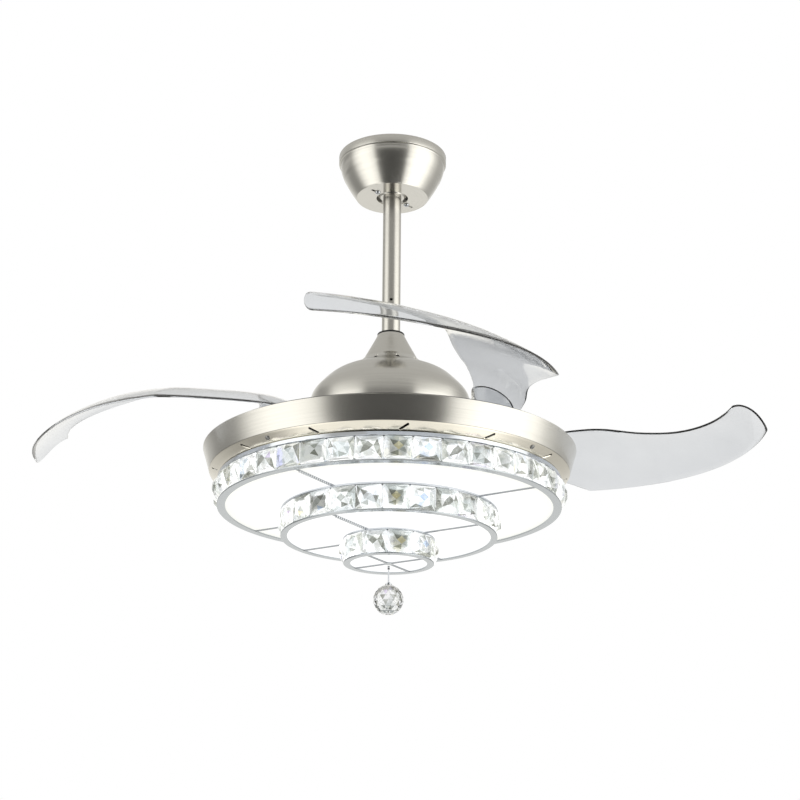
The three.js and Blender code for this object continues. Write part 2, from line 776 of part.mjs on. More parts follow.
function bladeCarrier() {
  const { floor, thickness, wall, hatRadius, hubGap } = carrier;
  const floorTop = floor + thickness;
  const wallTop = cover.top - cover.thickness - gap;
  const railTop = gearBottom - gap;
  const guide = ringInner - gearRing.play;
  const guideTop = gearTop - gearRing.railDrop;
  const railEdge = ringInner + gearRing.width - gearRing.seatInset;
  const hatHole = hubRadius + hubGap;
  const body = turned([
    [hatHole, carrierTop - thickness],
    [hatRadius - thickness, carrierTop - thickness],
    [hatRadius - thickness, floor],
    [carrierRadius, floor],
    [carrierRadius, wallTop],
    [carrierRadius - wall, wallTop],
    [carrierRadius - wall, floorTop],
    [railEdge, floorTop],
    [railEdge, railTop],
    [guide, railTop],
    [guide, guideTop],
    [guide - gearRing.railWidth, guideTop],
    [guide - gearRing.railWidth, floorTop],
    [hatRadius, floorTop],
    [hatRadius, carrierTop],
    [hatHole, carrierTop],
  ]);
  const stubHole = disc(hub.stubRadius + gap, floor - cutPast, floorTop + cutPast);
  return cut(body, ...pivots.map(([x, y]) => stubHole.translate([x, y, 0])));
}

function carrierCover() {
  const low = cover.top - cover.thickness;
  const hubHole = disc(hub.radius + cover.hubGap, low - cutPast, cover.top + cutPast);
  const holes = pivots.map(([x, y]) => hubHole.translate([x, y, 0]));
  return cut(ring(carrier.hatRadius + cover.hatGap, coverRadius, low, cover.top, bandSides), ...holes);
}

function gearRingBody() {
  const outline = gearOutline(ringTeeth, firstBladeAngle);
  const hole = disc(ringInner, gearBottom - cutPast, gearTop + cutPast, manySides);
  return cut(plate(outline, gearBottom, gearTop), hole);
}

function bladeHub() {
  const toGearRing = 180; // seen from the pivot, a tooth space faces the gear ring's tooth
  const gear = plate(gearOutline(bladeTeeth, toGearRing + 180 / bladeTeeth), gearBottom, gearTop);
  return joined(
    gear,
    disc(hub.radius, gearTop - cutPast, hub.top),
    disc(hub.stubRadius, carrier.floor, gearBottom + cutPast),
  );
}

/** A point of the folded blade's middle surface, seen from its pivot. */
function bladeHeight(angle, radius) {
  const [inner, outer] = bladeEdges(angle);
  const share = (radius - inner[0]) / (outer[0] - inner[0]);
  const camber = smooth(bladeCamber, angle, 1);
  return inner[1] + (outer[1] - inner[1]) * share + 4 * camber * share * (1 - share);
}

function bladeEdges(angle) {
  const outer = angle < bladeCorner ? bladeRoot : bladeTrailing;
  return [bladeLeading, outer].map((rows) => [pivotRadius + smooth(rows, angle, 1), smooth(rows, angle, 2)]);
}

/** The closed skin between an upper and a lower grid of points, row by row. */
function skin(rows, lift) {
  const across = rows[0].length;
  const points = [];
  const faces = [];
  for (const side of [lift, -lift]) {
    rows.forEach((row) => row.forEach(([x, y, z]) => points.push(x, y, z + side)));
  }
  const below = rows.length * across;
  const at = (i, j, side) => side * below + i * across + j;
  const quad = (a, b, c, d) => faces.push(a, c, b, a, d, c);
  for (let i = 0; i < rows.length - 1; i++) {
    for (let j = 0; j < across - 1; j++) {
      quad(at(i, j, 0), at(i, j + 1, 0), at(i + 1, j + 1, 0), at(i + 1, j, 0));
      quad(at(i, j, 1), at(i + 1, j, 1), at(i + 1, j + 1, 1), at(i, j + 1, 1));
    }
    quad(at(i, 0, 0), at(i + 1, 0, 0), at(i + 1, 0, 1), at(i, 0, 1));
    quad(at(i, across - 1, 1), at(i + 1, across - 1, 1), at(i + 1, across - 1, 0), at(i, across - 1, 0));
  }
  for (let j = 0; j < across - 1; j++) {
    quad(at(0, j, 1), at(0, j + 1, 1), at(0, j + 1, 0), at(0, j, 0));
    const end = rows.length - 1;
    quad(at(end, j, 0), at(end, j + 1, 0), at(end, j + 1, 1), at(end, j, 1));
  }
  const geometry = new THREE.BufferGeometry();
  geometry.setAttribute("position", new THREE.Float32BufferAttribute(points, 3));
  geometry.setIndex(faces);
  return solid(geometry);
}

function bladeSheet() {
  const [start, end] = [bladeLeading[0][0], bladeLeading.at(-1)[0]];
  const tipRadius = pivotRadius + bladeTrailing.at(-1)[1];
  const tipAngle = tipLength / tipRadius / degree;
  const [rootRows, armRows, tipRows, across] = [7, 10, 4, 6];
  const angles = [];
  for (let i = 0; i < rootRows; i++) angles.push(start + ((bladeCorner - start) * i) / rootRows);
  for (let i = 0; i < armRows; i++) angles.push(bladeCorner + ((end - tipAngle - bladeCorner) * i) / armRows);
  for (let i = 0; i <= tipRows; i++) {
    angles.push(end - tipAngle + tipAngle * Math.sin((i * Math.PI) / 2 / tipRows));
  }
  const rows = angles.map((angle) => {
    const [inner, outer] = bladeEdges(angle);
    const past = Math.max(0, (angle - end + tipAngle) / tipAngle);
    const width = Math.sqrt(Math.max(0, 1 - past ** 2));
    return Array.from({ length: across + 1 }, (_, j) => {
      const share = 0.6 + (j / across - 0.6) * width;
      const radius = inner[0] + (outer[0] - inner[0]) * share;
      const [x, y] = polar(radius, -angle);
      return [x - pivotRadius, y, bladeHeight(angle, radius)];
    });
  });
  return skin(rows, bladeThickness / 2);
}

/** A round foot of the blade, from a floor up to a depth under its middle surface. */
function bladeFoot(radius, floor, depth) {
  const sides = 16;
  const rings = [0, 0.5, 1];
  const top = rings.map((share) =>
    Array.from({ length: sides }, (_, i) => {
      const [x, y] = polar(radius * share, (360 * i) / sides);
      const angle = -Math.atan2(y, x + pivotRadius) / degree;
      const height = bladeHeight(Math.max(angle, bladeLeading[0][0]), Math.hypot(x + pivotRadius, y));
      return [x, y, height - depth];
    }),
  );
  const middle = top[0].map(() => [0, 0, floor]);
  const edge = top[2].map(([x, y]) => [x, y, floor]);
  const rows = [middle, edge, top[2], top[1], top[0]];
  const points = rows.flat(2);
  const faces = [];
  for (let i = 0; i < rows.length - 1; i++) {
    for (let j = 0; j < sides; j++) {
      const [a, b] = [i * sides + j, i * sides + ((j + 1) % sides)];
      faces.push(a, b + sides, a + sides, a, b, b + sides);
    }
  }
  const geometry = new THREE.BufferGeometry();
  geometry.setAttribute("position", new THREE.Float32BufferAttribute(points, 3));
  geometry.setIndex(faces);
  return solid(geometry);
}

function bladeBody() {
  const floor = hub.top + gap;
  const foot = cut(
    bladeFoot(footRadius, floor, 0),
    bladeFoot(footRadius - footWall, floor + footWall, bladeThickness),
    disc(footHoleRadius, floor - cutPast, floor + footWall + cutPast),
  );
  return joined(bladeSheet(), foot);
}

piece(hanging, "blade_carrier", bladeCarrier(), looks.black);
piece(hanging, "carrier_cover", carrierCover(), looks.black);
piece(hanging, "gear_ring", gearRingBody(), looks.nylon);

const oneHub = bladeHub();
const oneBlade = bladeBody();
const springBase = carrier.floor + carrier.thickness + gap;
const springTop = gearBottom - gap - spring.play;
const springInner = hub.stubRadius + gap;
const oneSpring = ring(springInner, springInner + spring.wire, springBase, springTop, someSides);
bladeAngles.forEach((angle, i) => {
  const arm = new THREE.Group();
  arm.rotation.z = angle * degree;
  const pivot = new THREE.Group();
  pivot.position.x = pivotRadius;
  const spread = new THREE.Group();
  spread.rotation.z = foldAngle * degree;
  hanging.add(arm);
  arm.add(pivot);
  pivot.add(spread);
  piece(pivot, "blade_hub_" + (i + 1), oneHub, looks.nylon);
  piece(pivot, "return_spring_" + (i + 1), oneSpring, looks.steel);
  piece(spread, "blade_" + (i + 1), oneBlade, looks.clear);
});

// ---------------------------------------------------------------------------
// The three tiers of the light
// ---------------------------------------------------------------------------

const isLast = (index) => index === tiers.length - 1;

/** A tier's body: a top plate with a rim, a wall, and the tube that carries it from the tier above. */
function tierBody(tier, index) {
  const [top, low] = [-tier.top, -tier.bottom + frameThickness + gap];
  const { radius, rim, post, tileBase } = tier;
  const edge = tileBase + tierFlange;
  const hole = index === 0 ? nut.radius + nutHoleGap : postBore;
  const postTop = index === 1 ? shaftBottom - gap : -tiers[1].top - sheet - gap;
  const middle = index === 0 ? [[hole, top]] : [[post, top], [post, postTop], [hole, postTop]];
  return turned([
    [hole, top - sheet],
    [radius - sheet, top - sheet],
    [radius - sheet, low],
    [radius, low],
    [radius, top - sheet],
    [edge - sheet, top - sheet],
    [edge - sheet, top - rim],
    [edge, top - rim],
    [edge, top],
    ...middle,
  ]);
}

function lightBoard(tier, index) {
  const top = -tier.top - sheet - gap;
  const through = isLast(index) ? 0 : tiers[index + 1].post;
  const own = index === 0 ? nut.radius : postBore;
  const hole = Math.max(through, own) + board.holeGap;
  return ring(hole, tier.radius - sheet - board.inset, top - board.thickness, top, moreSides);
}

function diffuser(tier, index) {
  const low = -tier.bottom + frameThickness + gap;
  const radius = tier.radius - sheet - gap;
  if (isLast(index)) return disc(radius, low, low + diffuserThickness, manySides);
  return ring(tiers[index + 1].post + gap, radius, low, low + diffuserThickness);
}

/** The crystals of a tier, side by side round its wall, each with a flat table and four slopes. */
function crystalBand(tier) {
  const [top, low] = [-tier.top - tier.rim - gap, -tier.bottom + frameThickness + gap];
  const middle = (top + low) / 2;
  const tile = 360 / tier.tiles;
  const halfHeight = ((top - low) / 2) * tableShare;
  const faces = [];
  const corner = (radius, angle, z) => [...polar(radius, angle), z];
  const quad = (a, b, c, d) => faces.push(...a, ...b, ...c, ...a, ...c, ...d);
  for (let i = 0; i < tier.tiles; i++) {
    const centre = tier.firstSeam + tile * (i + 0.5);
    const [left, right] = [centre - tile / 2, centre + tile / 2];
    const [tableLeft, tableRight] = [centre - (tile * tableShare) / 2, centre + (tile * tableShare) / 2];
    const proud = (tier.tileBase + tier.proud) / Math.cos((tile * tableShare * degree) / 2);
    const base = [corner(tier.tileBase, left, low), corner(tier.tileBase, right, low)];
    const crown = [corner(tier.tileBase, right, top), corner(tier.tileBase, left, top)];
    const table = [
      corner(proud, tableLeft, middle - halfHeight),
      corner(proud, tableRight, middle - halfHeight),
      corner(proud, tableRight, middle + halfHeight),
      corner(proud, tableLeft, middle + halfHeight),
    ];
    const behind = (tier.radius + gap) / Math.cos((tile * degree) / 2);
    const back = [
      corner(behind, left, low),
      corner(behind, right, low),
      corner(behind, right, top),
      corner(behind, left, top),
    ];
    quad(...table);
    quad(base[0], base[1], table[1], table[0]);
    quad(base[1], crown[0], table[2], table[1]);
    quad(crown[0], crown[1], table[3], table[2]);
    quad(crown[1], base[0], table[0], table[3]);
    quad(back[3], back[2], back[1], back[0]);
    quad(back[0], back[1], base[1], base[0]);
    quad(crown[1], crown[0], back[2], back[3]);
  }
  const geometry = new THREE.BufferGeometry();
  geometry.setAttribute("position", new THREE.Float32BufferAttribute(faces, 3));
  return solid(geometry);
}

const hookZ = -tiers.at(-1).bottom - pendant.hook;

function bottomFrame(tier, index) {
  const [low, high] = [-tier.bottom, -tier.bottom + frameThickness];
  const inner = tier.radius - sheet - tier.lip;
  const last = isLast(index);
  const hole = last ? 0 : tiers[index + 1].post + gap;
  const centre = last ? disc(ear.width, low, high) : ring(hole, hole + trim.hubWidth, low, high, someSides);
  const start = hole + trim.overlap;
  const reach = inner + trim.underLip - start;
  const bars = trim.angles.map((angle) =>
    block(reach, trim.width, low, high, start + reach / 2).rotate([0, 0, angle]),
  );
  const frame = joined(ring(inner, tier.tileBase + frameEdge, low, high), centre, ...bars);
  if (!last) return frame;
  const earX = (ear.spacing + ear.thickness) / 2;
  const ears = [-earX, earX].map((x) =>
    block(ear.thickness, ear.width, hookZ - ear.underPin, low + frameThickness / 2, x),
  );
  const pin = crossBar(pendant.pinRadius, ear.spacing + 2 * ear.thickness, 0, 0, hookZ);
  return joined(frame, ...ears, pin);
}

tiers.forEach((tier, index) => {
  const number = index + 1;
  piece(hanging, "tier_body_" + number, tierBody(tier, index), looks.chrome);
  piece(hanging, "light_board_" + number, lightBoard(tier, index), looks.white);
  piece(hanging, "diffuser_" + number, diffuser(tier, index), looks.glow);
  piece(hanging, "crystal_band_" + number, crystalBand(tier), looks.crystal);
  piece(hanging, "bottom_frame_" + number, bottomFrame(tier, index), looks.chrome);
});

// ---------------------------------------------------------------------------
// Pendant
// ---------------------------------------------------------------------------

const pendantBallZ = -tiers.at(-1).bottom - pendant.ballDrop;
const ballFlatZ = pendantBallZ + Math.sqrt(pendant.ballRadius ** 2 - pendantCap.radius ** 2);

function pendantLink() {
  const thickness = ear.spacing - 2 * gap;
  const capLow = ballFlatZ + gap;
  const body = joined(
    crossBar(pendant.eyeRadius, thickness, 0, 0, hookZ, someSides),
    disc(pendant.rodRadius, capLow, hookZ - (pendant.eyeRadius + pendant.pinRadius + gap) / 2, fewSides),
    disc(pendantCap.radius, capLow, capLow + pendantCap.height),
  );
  return cut(body, crossBar(pendant.pinRadius + gap, thickness * 2, 0, 0, hookZ));
}

function pendantBall() {
  const { ballRadius } = pendant;
  const profile = [[0, -ballRadius]];
  for (let i = 1; i <= ballRows; i++) {
    const climb = -90 + (180 * i) / (ballRows + 1);
    profile.push([ballRadius * Math.cos(climb * degree), ballRadius * Math.sin(climb * degree)]);
  }
  const flat = ballFlatZ - pendantBallZ;
  profile.push([pendantCap.radius, flat], [0, flat]);
  return turned(profile, ballSides).translate([0, 0, pendantBallZ]);
}

piece(hanging, "pendant_link", pendantLink(), looks.chrome);
piece(hanging, "pendant_ball", pendantBall(), looks.crystal);

export default fan;
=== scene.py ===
"""A ceiling fan with clear folding blades and a three tier crystal light, dressed for its picture.

Sizes are millimetres. Heights are measured from the drum's rim, as in the part's source, unless a
name says otherwise, and turned into metres of the shared frame when a mesh is made.
"""

from __future__ import annotations

import logging
import math
from dataclasses import dataclass, field
from enum import Enum
from typing import Callable, Iterable, Sequence

import bmesh
import bpy
from mathutils import Matrix, Vector

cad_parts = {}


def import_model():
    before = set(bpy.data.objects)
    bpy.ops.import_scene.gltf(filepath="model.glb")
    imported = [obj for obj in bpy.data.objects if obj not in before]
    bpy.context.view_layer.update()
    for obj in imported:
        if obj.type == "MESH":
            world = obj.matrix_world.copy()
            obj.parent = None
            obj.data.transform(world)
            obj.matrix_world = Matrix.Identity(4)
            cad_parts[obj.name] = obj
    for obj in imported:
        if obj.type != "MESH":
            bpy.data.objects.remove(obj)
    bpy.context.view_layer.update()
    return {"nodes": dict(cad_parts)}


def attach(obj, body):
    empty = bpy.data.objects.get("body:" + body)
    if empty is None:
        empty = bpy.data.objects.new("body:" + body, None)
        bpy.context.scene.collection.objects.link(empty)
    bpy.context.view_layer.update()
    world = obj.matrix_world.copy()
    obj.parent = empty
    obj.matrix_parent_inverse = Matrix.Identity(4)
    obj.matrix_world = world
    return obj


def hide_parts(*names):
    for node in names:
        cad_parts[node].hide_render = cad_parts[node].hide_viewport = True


LOG = logging.getLogger("fan")
MM = 0.001
RIM_DEPTH = 441.6  # from the ceiling down to the drum's rim
FINE = 160  # sides of a large turned piece
MEDIUM = 64
SMALL = 32

Point = tuple[float, float, float]
Profile = Sequence[tuple[float, float]]
Row = tuple[float, ...]
Tree, Node, Socket = bpy.types.NodeTree, bpy.types.Node, bpy.types.NodeSocket
Object, Material = bpy.types.Object, bpy.types.Material


# ---------------------------------------------------------------------------
# Colour and shader nodes
# ---------------------------------------------------------------------------


def linear(hex_colour: str) -> tuple[float, float, float, float]:
    """Turn an sRGB hex colour to linear values.

    Args:
        hex_colour: Six hex digits, with or without a leading hash.

    Returns:
        Red, green, blue, and 1 for alpha.
    """
    digits = hex_colour.lstrip("#")
    shares = [int(digits[i : i + 2], 16) / 255 for i in (0, 2, 4)]
    rgb = [s / 12.92 if s <= 0.04045 else ((s + 0.055) / 1.055) ** 2.4 for s in shares]
    return (rgb[0], rgb[1], rgb[2], 1.0)


def add_node(tree: Tree, kind: str, inputs: dict | None = None, **settings: object) -> Node:
    """Add a node with its settings, values and links.

    Args:
        tree: The tree that takes the node.
        kind: The node's type name.
        inputs: Socket name or number, with a value or the socket that feeds it.
        settings: The node's own properties.

    Returns:
        The new node.
    """
    node = tree.nodes.new(kind)
    for name, value in settings.items():
        setattr(node, name, value)
    for socket, value in (inputs or {}).items():
        if isinstance(value, Socket):
            tree.links.new(value, node.inputs[socket])
        else:
            node.inputs[socket].default_value = value
    return node


def maths(tree: Tree, operation: str, *values: Socket | float) -> Socket:
    """Work a value out from up to three others.

    Args:
        tree: The tree that takes the node.
        operation: The sum to do, by its name in the node.
        values: The values, or the sockets that feed them.

    Returns:
        The result's socket.
    """
    return add_node(tree, "ShaderNodeMath", dict(enumerate(values)), operation=operation).outputs[0]


def soft_step(
    tree: Tree, value: Socket, low: float, high: float, start: float = 0.0, end: float = 1.0
) -> Socket:
    """Go softly from one level to another while a value crosses a range.

    Args:
        tree: The tree that takes the node.
        value: The socket that feeds it.
        low: Where the range starts.
        high: Where it ends.
        start: The level up to the range's start.
        end: The level from its end on.

    Returns:
        The result's socket.
    """
    limits = {"Value": value, "From Min": low, "From Max": high, "To Min": start, "To Max": end}
    return add_node(tree, "ShaderNodeMapRange", limits, interpolation_type="SMOOTHSTEP").outputs["Result"]


def about_z(tree: Tree) -> tuple[bpy.types.NodeOutputs, Socket]:
    """Split an object's own coordinates, and measure from its Z axis.

    Args:
        tree: The tree that takes the nodes.

    Returns:
        The X, Y and Z sockets, and the socket of the distance from the axis.
    """
    place = add_node(tree, "ShaderNodeTexCoord")
    split = add_node(tree, "ShaderNodeSeparateXYZ", {"Vector": place.outputs["Object"]}).outputs
    across = add_node(tree, "ShaderNodeCombineXYZ", {"X": split["X"], "Y": split["Y"]})
    radius = add_node(tree, "ShaderNodeVectorMath", {0: across.outputs[0]}, operation="LENGTH")
    return split, radius.outputs["Value"]


def blank_material(name: str) -> Material:
    """Return a new material that has the usual shader."""
    made = bpy.data.materials.new(name)
    made.use_nodes = True
    return made


def repaint(piece: Object, material: Material) -> None:
    """Give an object one material in place of those it has."""
    piece.data.materials.clear()
    piece.data.materials.append(material)


# ---------------------------------------------------------------------------
# Finishes
# ---------------------------------------------------------------------------


@dataclass(frozen=True)
class Finish:
    """A surface as a maker would name it, with typical values for its material."""

    name: str
    slot: str
    colour: str
    metallic: float = 0.0
    roughness: float = 0.5

    def material(self) -> Material:
        """Return the finish's material, built the first time it is asked for."""
        known = bpy.data.materials.get(self.name)
        if known:
            return known
        made = blank_material(self.name)
        shader = made.node_tree.nodes["Principled BSDF"]
        shader.inputs["Base Color"].default_value = linear(self.colour)
        shader.inputs["Metallic"].default_value = self.metallic
        shader.inputs["Roughness"].default_value = self.roughness
        made.diffuse_color = linear(self.colour)
        self.dress(made.node_tree, shader)
        return made

    def dress(self, tree: Tree, shader: Node) -> None:
        """Add the finish's pattern to its shader. A plain finish has none."""

    def noise(self, tree: Tree, grain_mm: float, detail: float = 3.0) -> Node:
        """Add an even noise whose cells are about a real size across.

        Args:
            tree: The material's tree.
            grain_mm: The size of a cell.
            detail: How many finer layers it has.

        Returns:
            The noise node.
        """
        place = add_node(tree, "ShaderNodeTexCoord")
        return add_node(
            tree,
            "ShaderNodeTexNoise",
            {"Vector": place.outputs["Object"], "Scale": 1 / (grain_mm * MM), "Detail": detail},
        )

    def spread(self, tree: Tree, value: Socket, low: float, high: float) -> Socket:
        """Map a value from 0 to 1 onto a range, and return the result's socket."""
        ranged = add_node(tree, "ShaderNodeMapRange", {"Value": value, "To Min": low, "To Max": high})
        return ranged.outputs["Result"]

    def tint(self, tree: Tree, shader: Node, amount: Socket, other: str) -> None:
        """Mix the base colour towards another one by an amount from 0 to 1."""
        mix = add_node(
            tree,
            "ShaderNodeMix",
            {0: amount, 6: linear(self.colour), 7: linear(other)},
            data_type="RGBA",
        )
        tree.links.new(mix.outputs[2], shader.inputs["Base Color"])

    def bump(self, tree: Tree, shader: Node, height: Socket, depth_mm: float) -> None:
        """Feed a height from 0 to 1 to the shader's normal, that many millimetres deep."""
        given = {"Height": height, "Distance": depth_mm * MM, "Strength": 1.0}
        node = add_node(tree, "ShaderNodeBump", given)
        tree.links.new(node.outputs["Normal"], shader.inputs["Normal"])


@dataclass(frozen=True)
class SpunNickel(Finish):
    """Nickel plate brushed on a lathe: fine rings round the axis stretch each highlight along it."""

    line_mm: float = 0.9  # real lines are near 0.1 mm, drawn coarser so that they show
    stretch: float = 0.6

    def dress(self, tree: Tree, shader: Node) -> None:
        """Draw lines that run round Z, and slow cloudiness from handling."""
        split, radius = about_z(tree)
        turn = maths(tree, "ARCTAN2", split["Y"], split["X"])
        slow_turn = maths(tree, "MULTIPLY", turn, self.line_mm * MM)
        rings = add_node(tree, "ShaderNodeCombineXYZ", {"X": radius, "Y": slow_turn, "Z": split["Z"]})
        lines = add_node(
            tree,
            "ShaderNodeTexNoise",
            {"Vector": rings.outputs[0], "Scale": 1 / (self.line_mm * MM), "Detail": 2.0, "Roughness": 0.7},
        )
        clouds = self.noise(tree, 60.0, 2.0)
        fine = self.spread(tree, lines.outputs[0], -0.06, 0.06)
        slow = self.spread(tree, clouds.outputs[0], -0.03, 0.05)
        rough = maths(tree, "ADD", maths(tree, "ADD", fine, slow), self.roughness)
        tree.links.new(rough, shader.inputs["Roughness"])
        self.tint(tree, shader, self.spread(tree, lines.outputs[0], 0.0, 0.45), "#aeaba2")
        self.bump(tree, shader, lines.outputs[0], 0.004)
        shader.inputs["Anisotropic"].default_value = self.stretch
        shader.inputs["Anisotropic Rotation"].default_value = 0.25  # across the lines
        tangent = add_node(tree, "ShaderNodeTangent", direction_type="RADIAL", axis="Z")
        tree.links.new(tangent.outputs[0], shader.inputs["Tangent"])


@dataclass(frozen=True)
class PolishedMetal(Finish):
    """Buffed or plated sheet: a clear reflection, a little uneven from the press."""

    wave_mm: float = 30.0
    smudge: float = 0.05

    def dress(self, tree: Tree, shader: Node) -> None:
        """Vary the gloss slowly and give the sheet a faint wave."""
        waves = self.noise(tree, self.wave_mm, 1.0)
        clean = max(self.roughness - self.smudge, 0.0)
        level = self.spread(tree, waves.outputs[0], clean, self.roughness + self.smudge)
        tree.links.new(level, shader.inputs["Roughness"])
        self.bump(tree, shader, waves.outputs[0], 0.02)


@dataclass(frozen=True)
class ZincPlate(Finish):
    """Zinc plated steel: dull, with the soft patches of the bath."""

    def dress(self, tree: Tree, shader: Node) -> None:
        """Mix in darker patches a few millimetres across."""
        patches = self.noise(tree, 6.0, 4.0)
        self.tint(tree, shader, self.spread(tree, patches.outputs[0], 0.0, 0.5), "#6f6f70")
        tree.links.new(self.spread(tree, patches.outputs[0], 0.3, 0.5), shader.inputs["Roughness"])


@dataclass(frozen=True)
class ClearAcrylic(Finish):
    """Smoke tinted acrylic, injection moulded: glossy, and grey where it is looked through."""

    ior: float = 1.18  # under acrylic's 1.49, so that its thin edges don't turn black

    def dress(self, tree: Tree, shader: Node) -> None:
        """Let light through, with the mould's faint flow marks and a slow change in the smoke."""
        shader.inputs["Transmission Weight"].default_value = 1.0
        shader.inputs["IOR"].default_value = self.ior
        shader.inputs["Coat Weight"].default_value = 1.0  # the moulded skin's own shine
        flow = self.noise(tree, 45.0, 1.0)
        self.bump(tree, shader, flow.outputs[0], 0.12)
        self.tint(tree, shader, self.spread(tree, flow.outputs[0], 0.0, 0.35), "#c6c8cb")


@dataclass(frozen=True)
class CutGlass(Finish):
    """Machine cut crystal: flat polished facets that bend the light, each tinted with painted reflection,
    shade and colour glints where real glass splits the light, and given a painted glow.
    """

    ior: float = 1.55
    # strength of the painted glow, emission from glass that is no lamp
    glow: float = 0.0

    def dress(self, tree: Tree, shader: Node) -> None:
        """Make it clear, tint each facet with the painted light held in its mesh's colour, and give it a
        painted glow of that colour.
        """
        shader.inputs["Transmission Weight"].default_value = 1.0
        shader.inputs["IOR"].default_value = self.ior
        # each facet's painted reflection, shade and colour glint, read from the mesh
        facet_light_paint = add_node(tree, "ShaderNodeAttribute", attribute_name=FACET_PAINTED_LIGHT)
        tree.links.new(facet_light_paint.outputs["Color"], shader.inputs["Base Color"])
        tree.links.new(facet_light_paint.outputs["Color"], shader.inputs["Emission Color"])
        # painted glow: the glass gives off light though it is no lamp
        shader.inputs["Emission Strength"].default_value = self.glow


@dataclass(frozen=True)
class OpalSheet(Finish):
    """Opal acrylic over lit boards: white light, a little weaker towards its rim."""

    strength: float = 0.9
    reach_mm: float = 219.0

    def dress(self, tree: Tree, shader: Node) -> None:
        """Light it from within, evenly in the middle and a touch greyer at the rim."""
        radius = about_z(tree)[1]
        edge = soft_step(tree, radius, self.reach_mm * 0.75 * MM, self.reach_mm * MM)
        lit = add_node(
            tree,
            "ShaderNodeMix",
            {0: edge, 6: linear("#ffffff"), 7: linear("#f1f1ec")},
            data_type="RGBA",
        )
        tree.links.new(lit.outputs[2], shader.inputs["Emission Color"])
        shader.inputs["Emission Strength"].default_value = self.strength


@dataclass(frozen=True)
class Moulded(Finish):
    """Moulded plastic or rubber with the fine even texture of its mould."""

    grain_mm: float = 0.8
    depth_mm: float = 0.02

    def dress(self, tree: Tree, shader: Node) -> None:
        """Add the mould's grain and a little wear in the gloss."""
        grain = self.noise(tree, self.grain_mm, 2.0)
        self.bump(tree, shader, grain.outputs[0], self.depth_mm)
        worn = self.noise(tree, 25.0, 2.0)
        level = self.spread(tree, worn.outputs[0], self.roughness - 0.08, self.roughness + 0.08)
        tree.links.new(level, shader.inputs["Roughness"])


@dataclass(frozen=True)
class Laminated(Finish):
    """Stacked electrical steel: thin level lines up its edge."""

    sheet_mm: float = 0.5

    def dress(self, tree: Tree, shader: Node) -> None:
        """Draw the level lines."""
        place = add_node(tree, "ShaderNodeTexCoord")
        sheets = add_node(
            tree,
            "ShaderNodeTexWave",
            {"Vector": place.outputs["Object"], "Scale": 1 / (self.sheet_mm * MM) / 20},
            bands_direction="Z",
        )
        self.tint(tree, shader, self.spread(tree, sheets.outputs[1], 0.0, 0.4), "#2b2b2d")


# The mesh colour that holds each facet's painted reflection, shade and colour glint.
FACET_PAINTED_LIGHT = "facet_tint"
FACET_STEP, FACET_START, FACET_MARKS = 7919, 13, 211  # primes, so that facets side by side differ


class Look(Enum):
    """Every finish on the fan."""

    NICKEL = SpunNickel("brushed nickel", "nickel", "#d9d7d1", 1.0, 0.2)
    ROD_NICKEL = SpunNickel("brushed nickel tube", "nickel", "#d9d7d1", 1.0, 0.3)
    PAN = PolishedMetal("polished champagne plate", "polished", "#ece7da", 1.0, 0.2, 40.0, 0.05)
    CHROME = PolishedMetal("chrome plate", "chrome", "#cfd2d6", 1.0, 0.08, 25.0, 0.03)
    BRIGHT = PolishedMetal("bright plate", "bright_metal", "#cfd3d8", 1.0, 0.1, 25.0, 0.03)
    TRIM = PolishedMetal("satin chrome trim", "chrome", "#b4b9bd", 1.0, 0.2, 25.0, 0.05)
    STRIP = PolishedMetal("dark chrome strip", "chrome", "#9a9ea2", 1.0, 0.3, 25.0, 0.05)
    STEEL = ZincPlate("zinc plated steel", "steel", "#9a9a98", 1.0, 0.4)
    CORE = Laminated("varnished laminations", "core", "#4e4e50", 0.8, 0.45)
    MAGNET = Moulded("ferrite magnet", "core", "#38383a", 0.0, 0.6, 0.5, 0.02)
    COPPER = Laminated("enamelled copper wire", "copper", "#a5602f", 1.0, 0.3, 0.8)
    PAINT = Moulded("satin black plastic", "black_plastic", "#1b1b1c", 0.0, 0.42, 0.6, 0.015)
    PLASTIC = Moulded("black moulded nylon", "black_plastic", "#1c1c1e", 0.0, 0.5, 0.9, 0.02)
    RUBBER = Moulded("black rubber", "rubber", "#121212", 0.0, 0.75, 0.7, 0.03)
    WHITE = Moulded("white moulded plastic", "white_plastic", "#ecece6", 0.0, 0.5, 0.9, 0.02)
    BOARD = Moulded("white solder mask", "board_white", "#f2f2ee", 0.0, 0.35, 2.0, 0.01)
    ACRYLIC = ClearAcrylic("smoke clear acrylic", "clear_plastic", "#e0e2e4", 0.0, 0.03)
    # The light's crystals get a painted glow of 0.2 and the pendant's none; both take painted light on each
    # facet.
    CRYSTAL = CutGlass("cut crystal", "crystal", "#f4f6f6", 0.0, 0.0, 1.5, 0.2)
    PENDANT_GLASS = CutGlass("cut crystal, unlit", "crystal", "#f4f6f6", 0.0, 0.0, 1.55, 0.0)
    OPAL = OpalSheet("opal acrylic", "glow", "#8c8c8a", 0.0, 0.5)

    @property
    def material(self) -> Material:
        """The finish's material."""
        return self.value.material()


# ---------------------------------------------------------------------------
# Meshes
# ---------------------------------------------------------------------------


def polar(radius: float, degrees: float) -> tuple[float, float]:
    """Return the x and y of a point at a radius and an angle from +X."""
    turn = math.radians(degrees)
    return radius * math.cos(turn), radius * math.sin(turn)


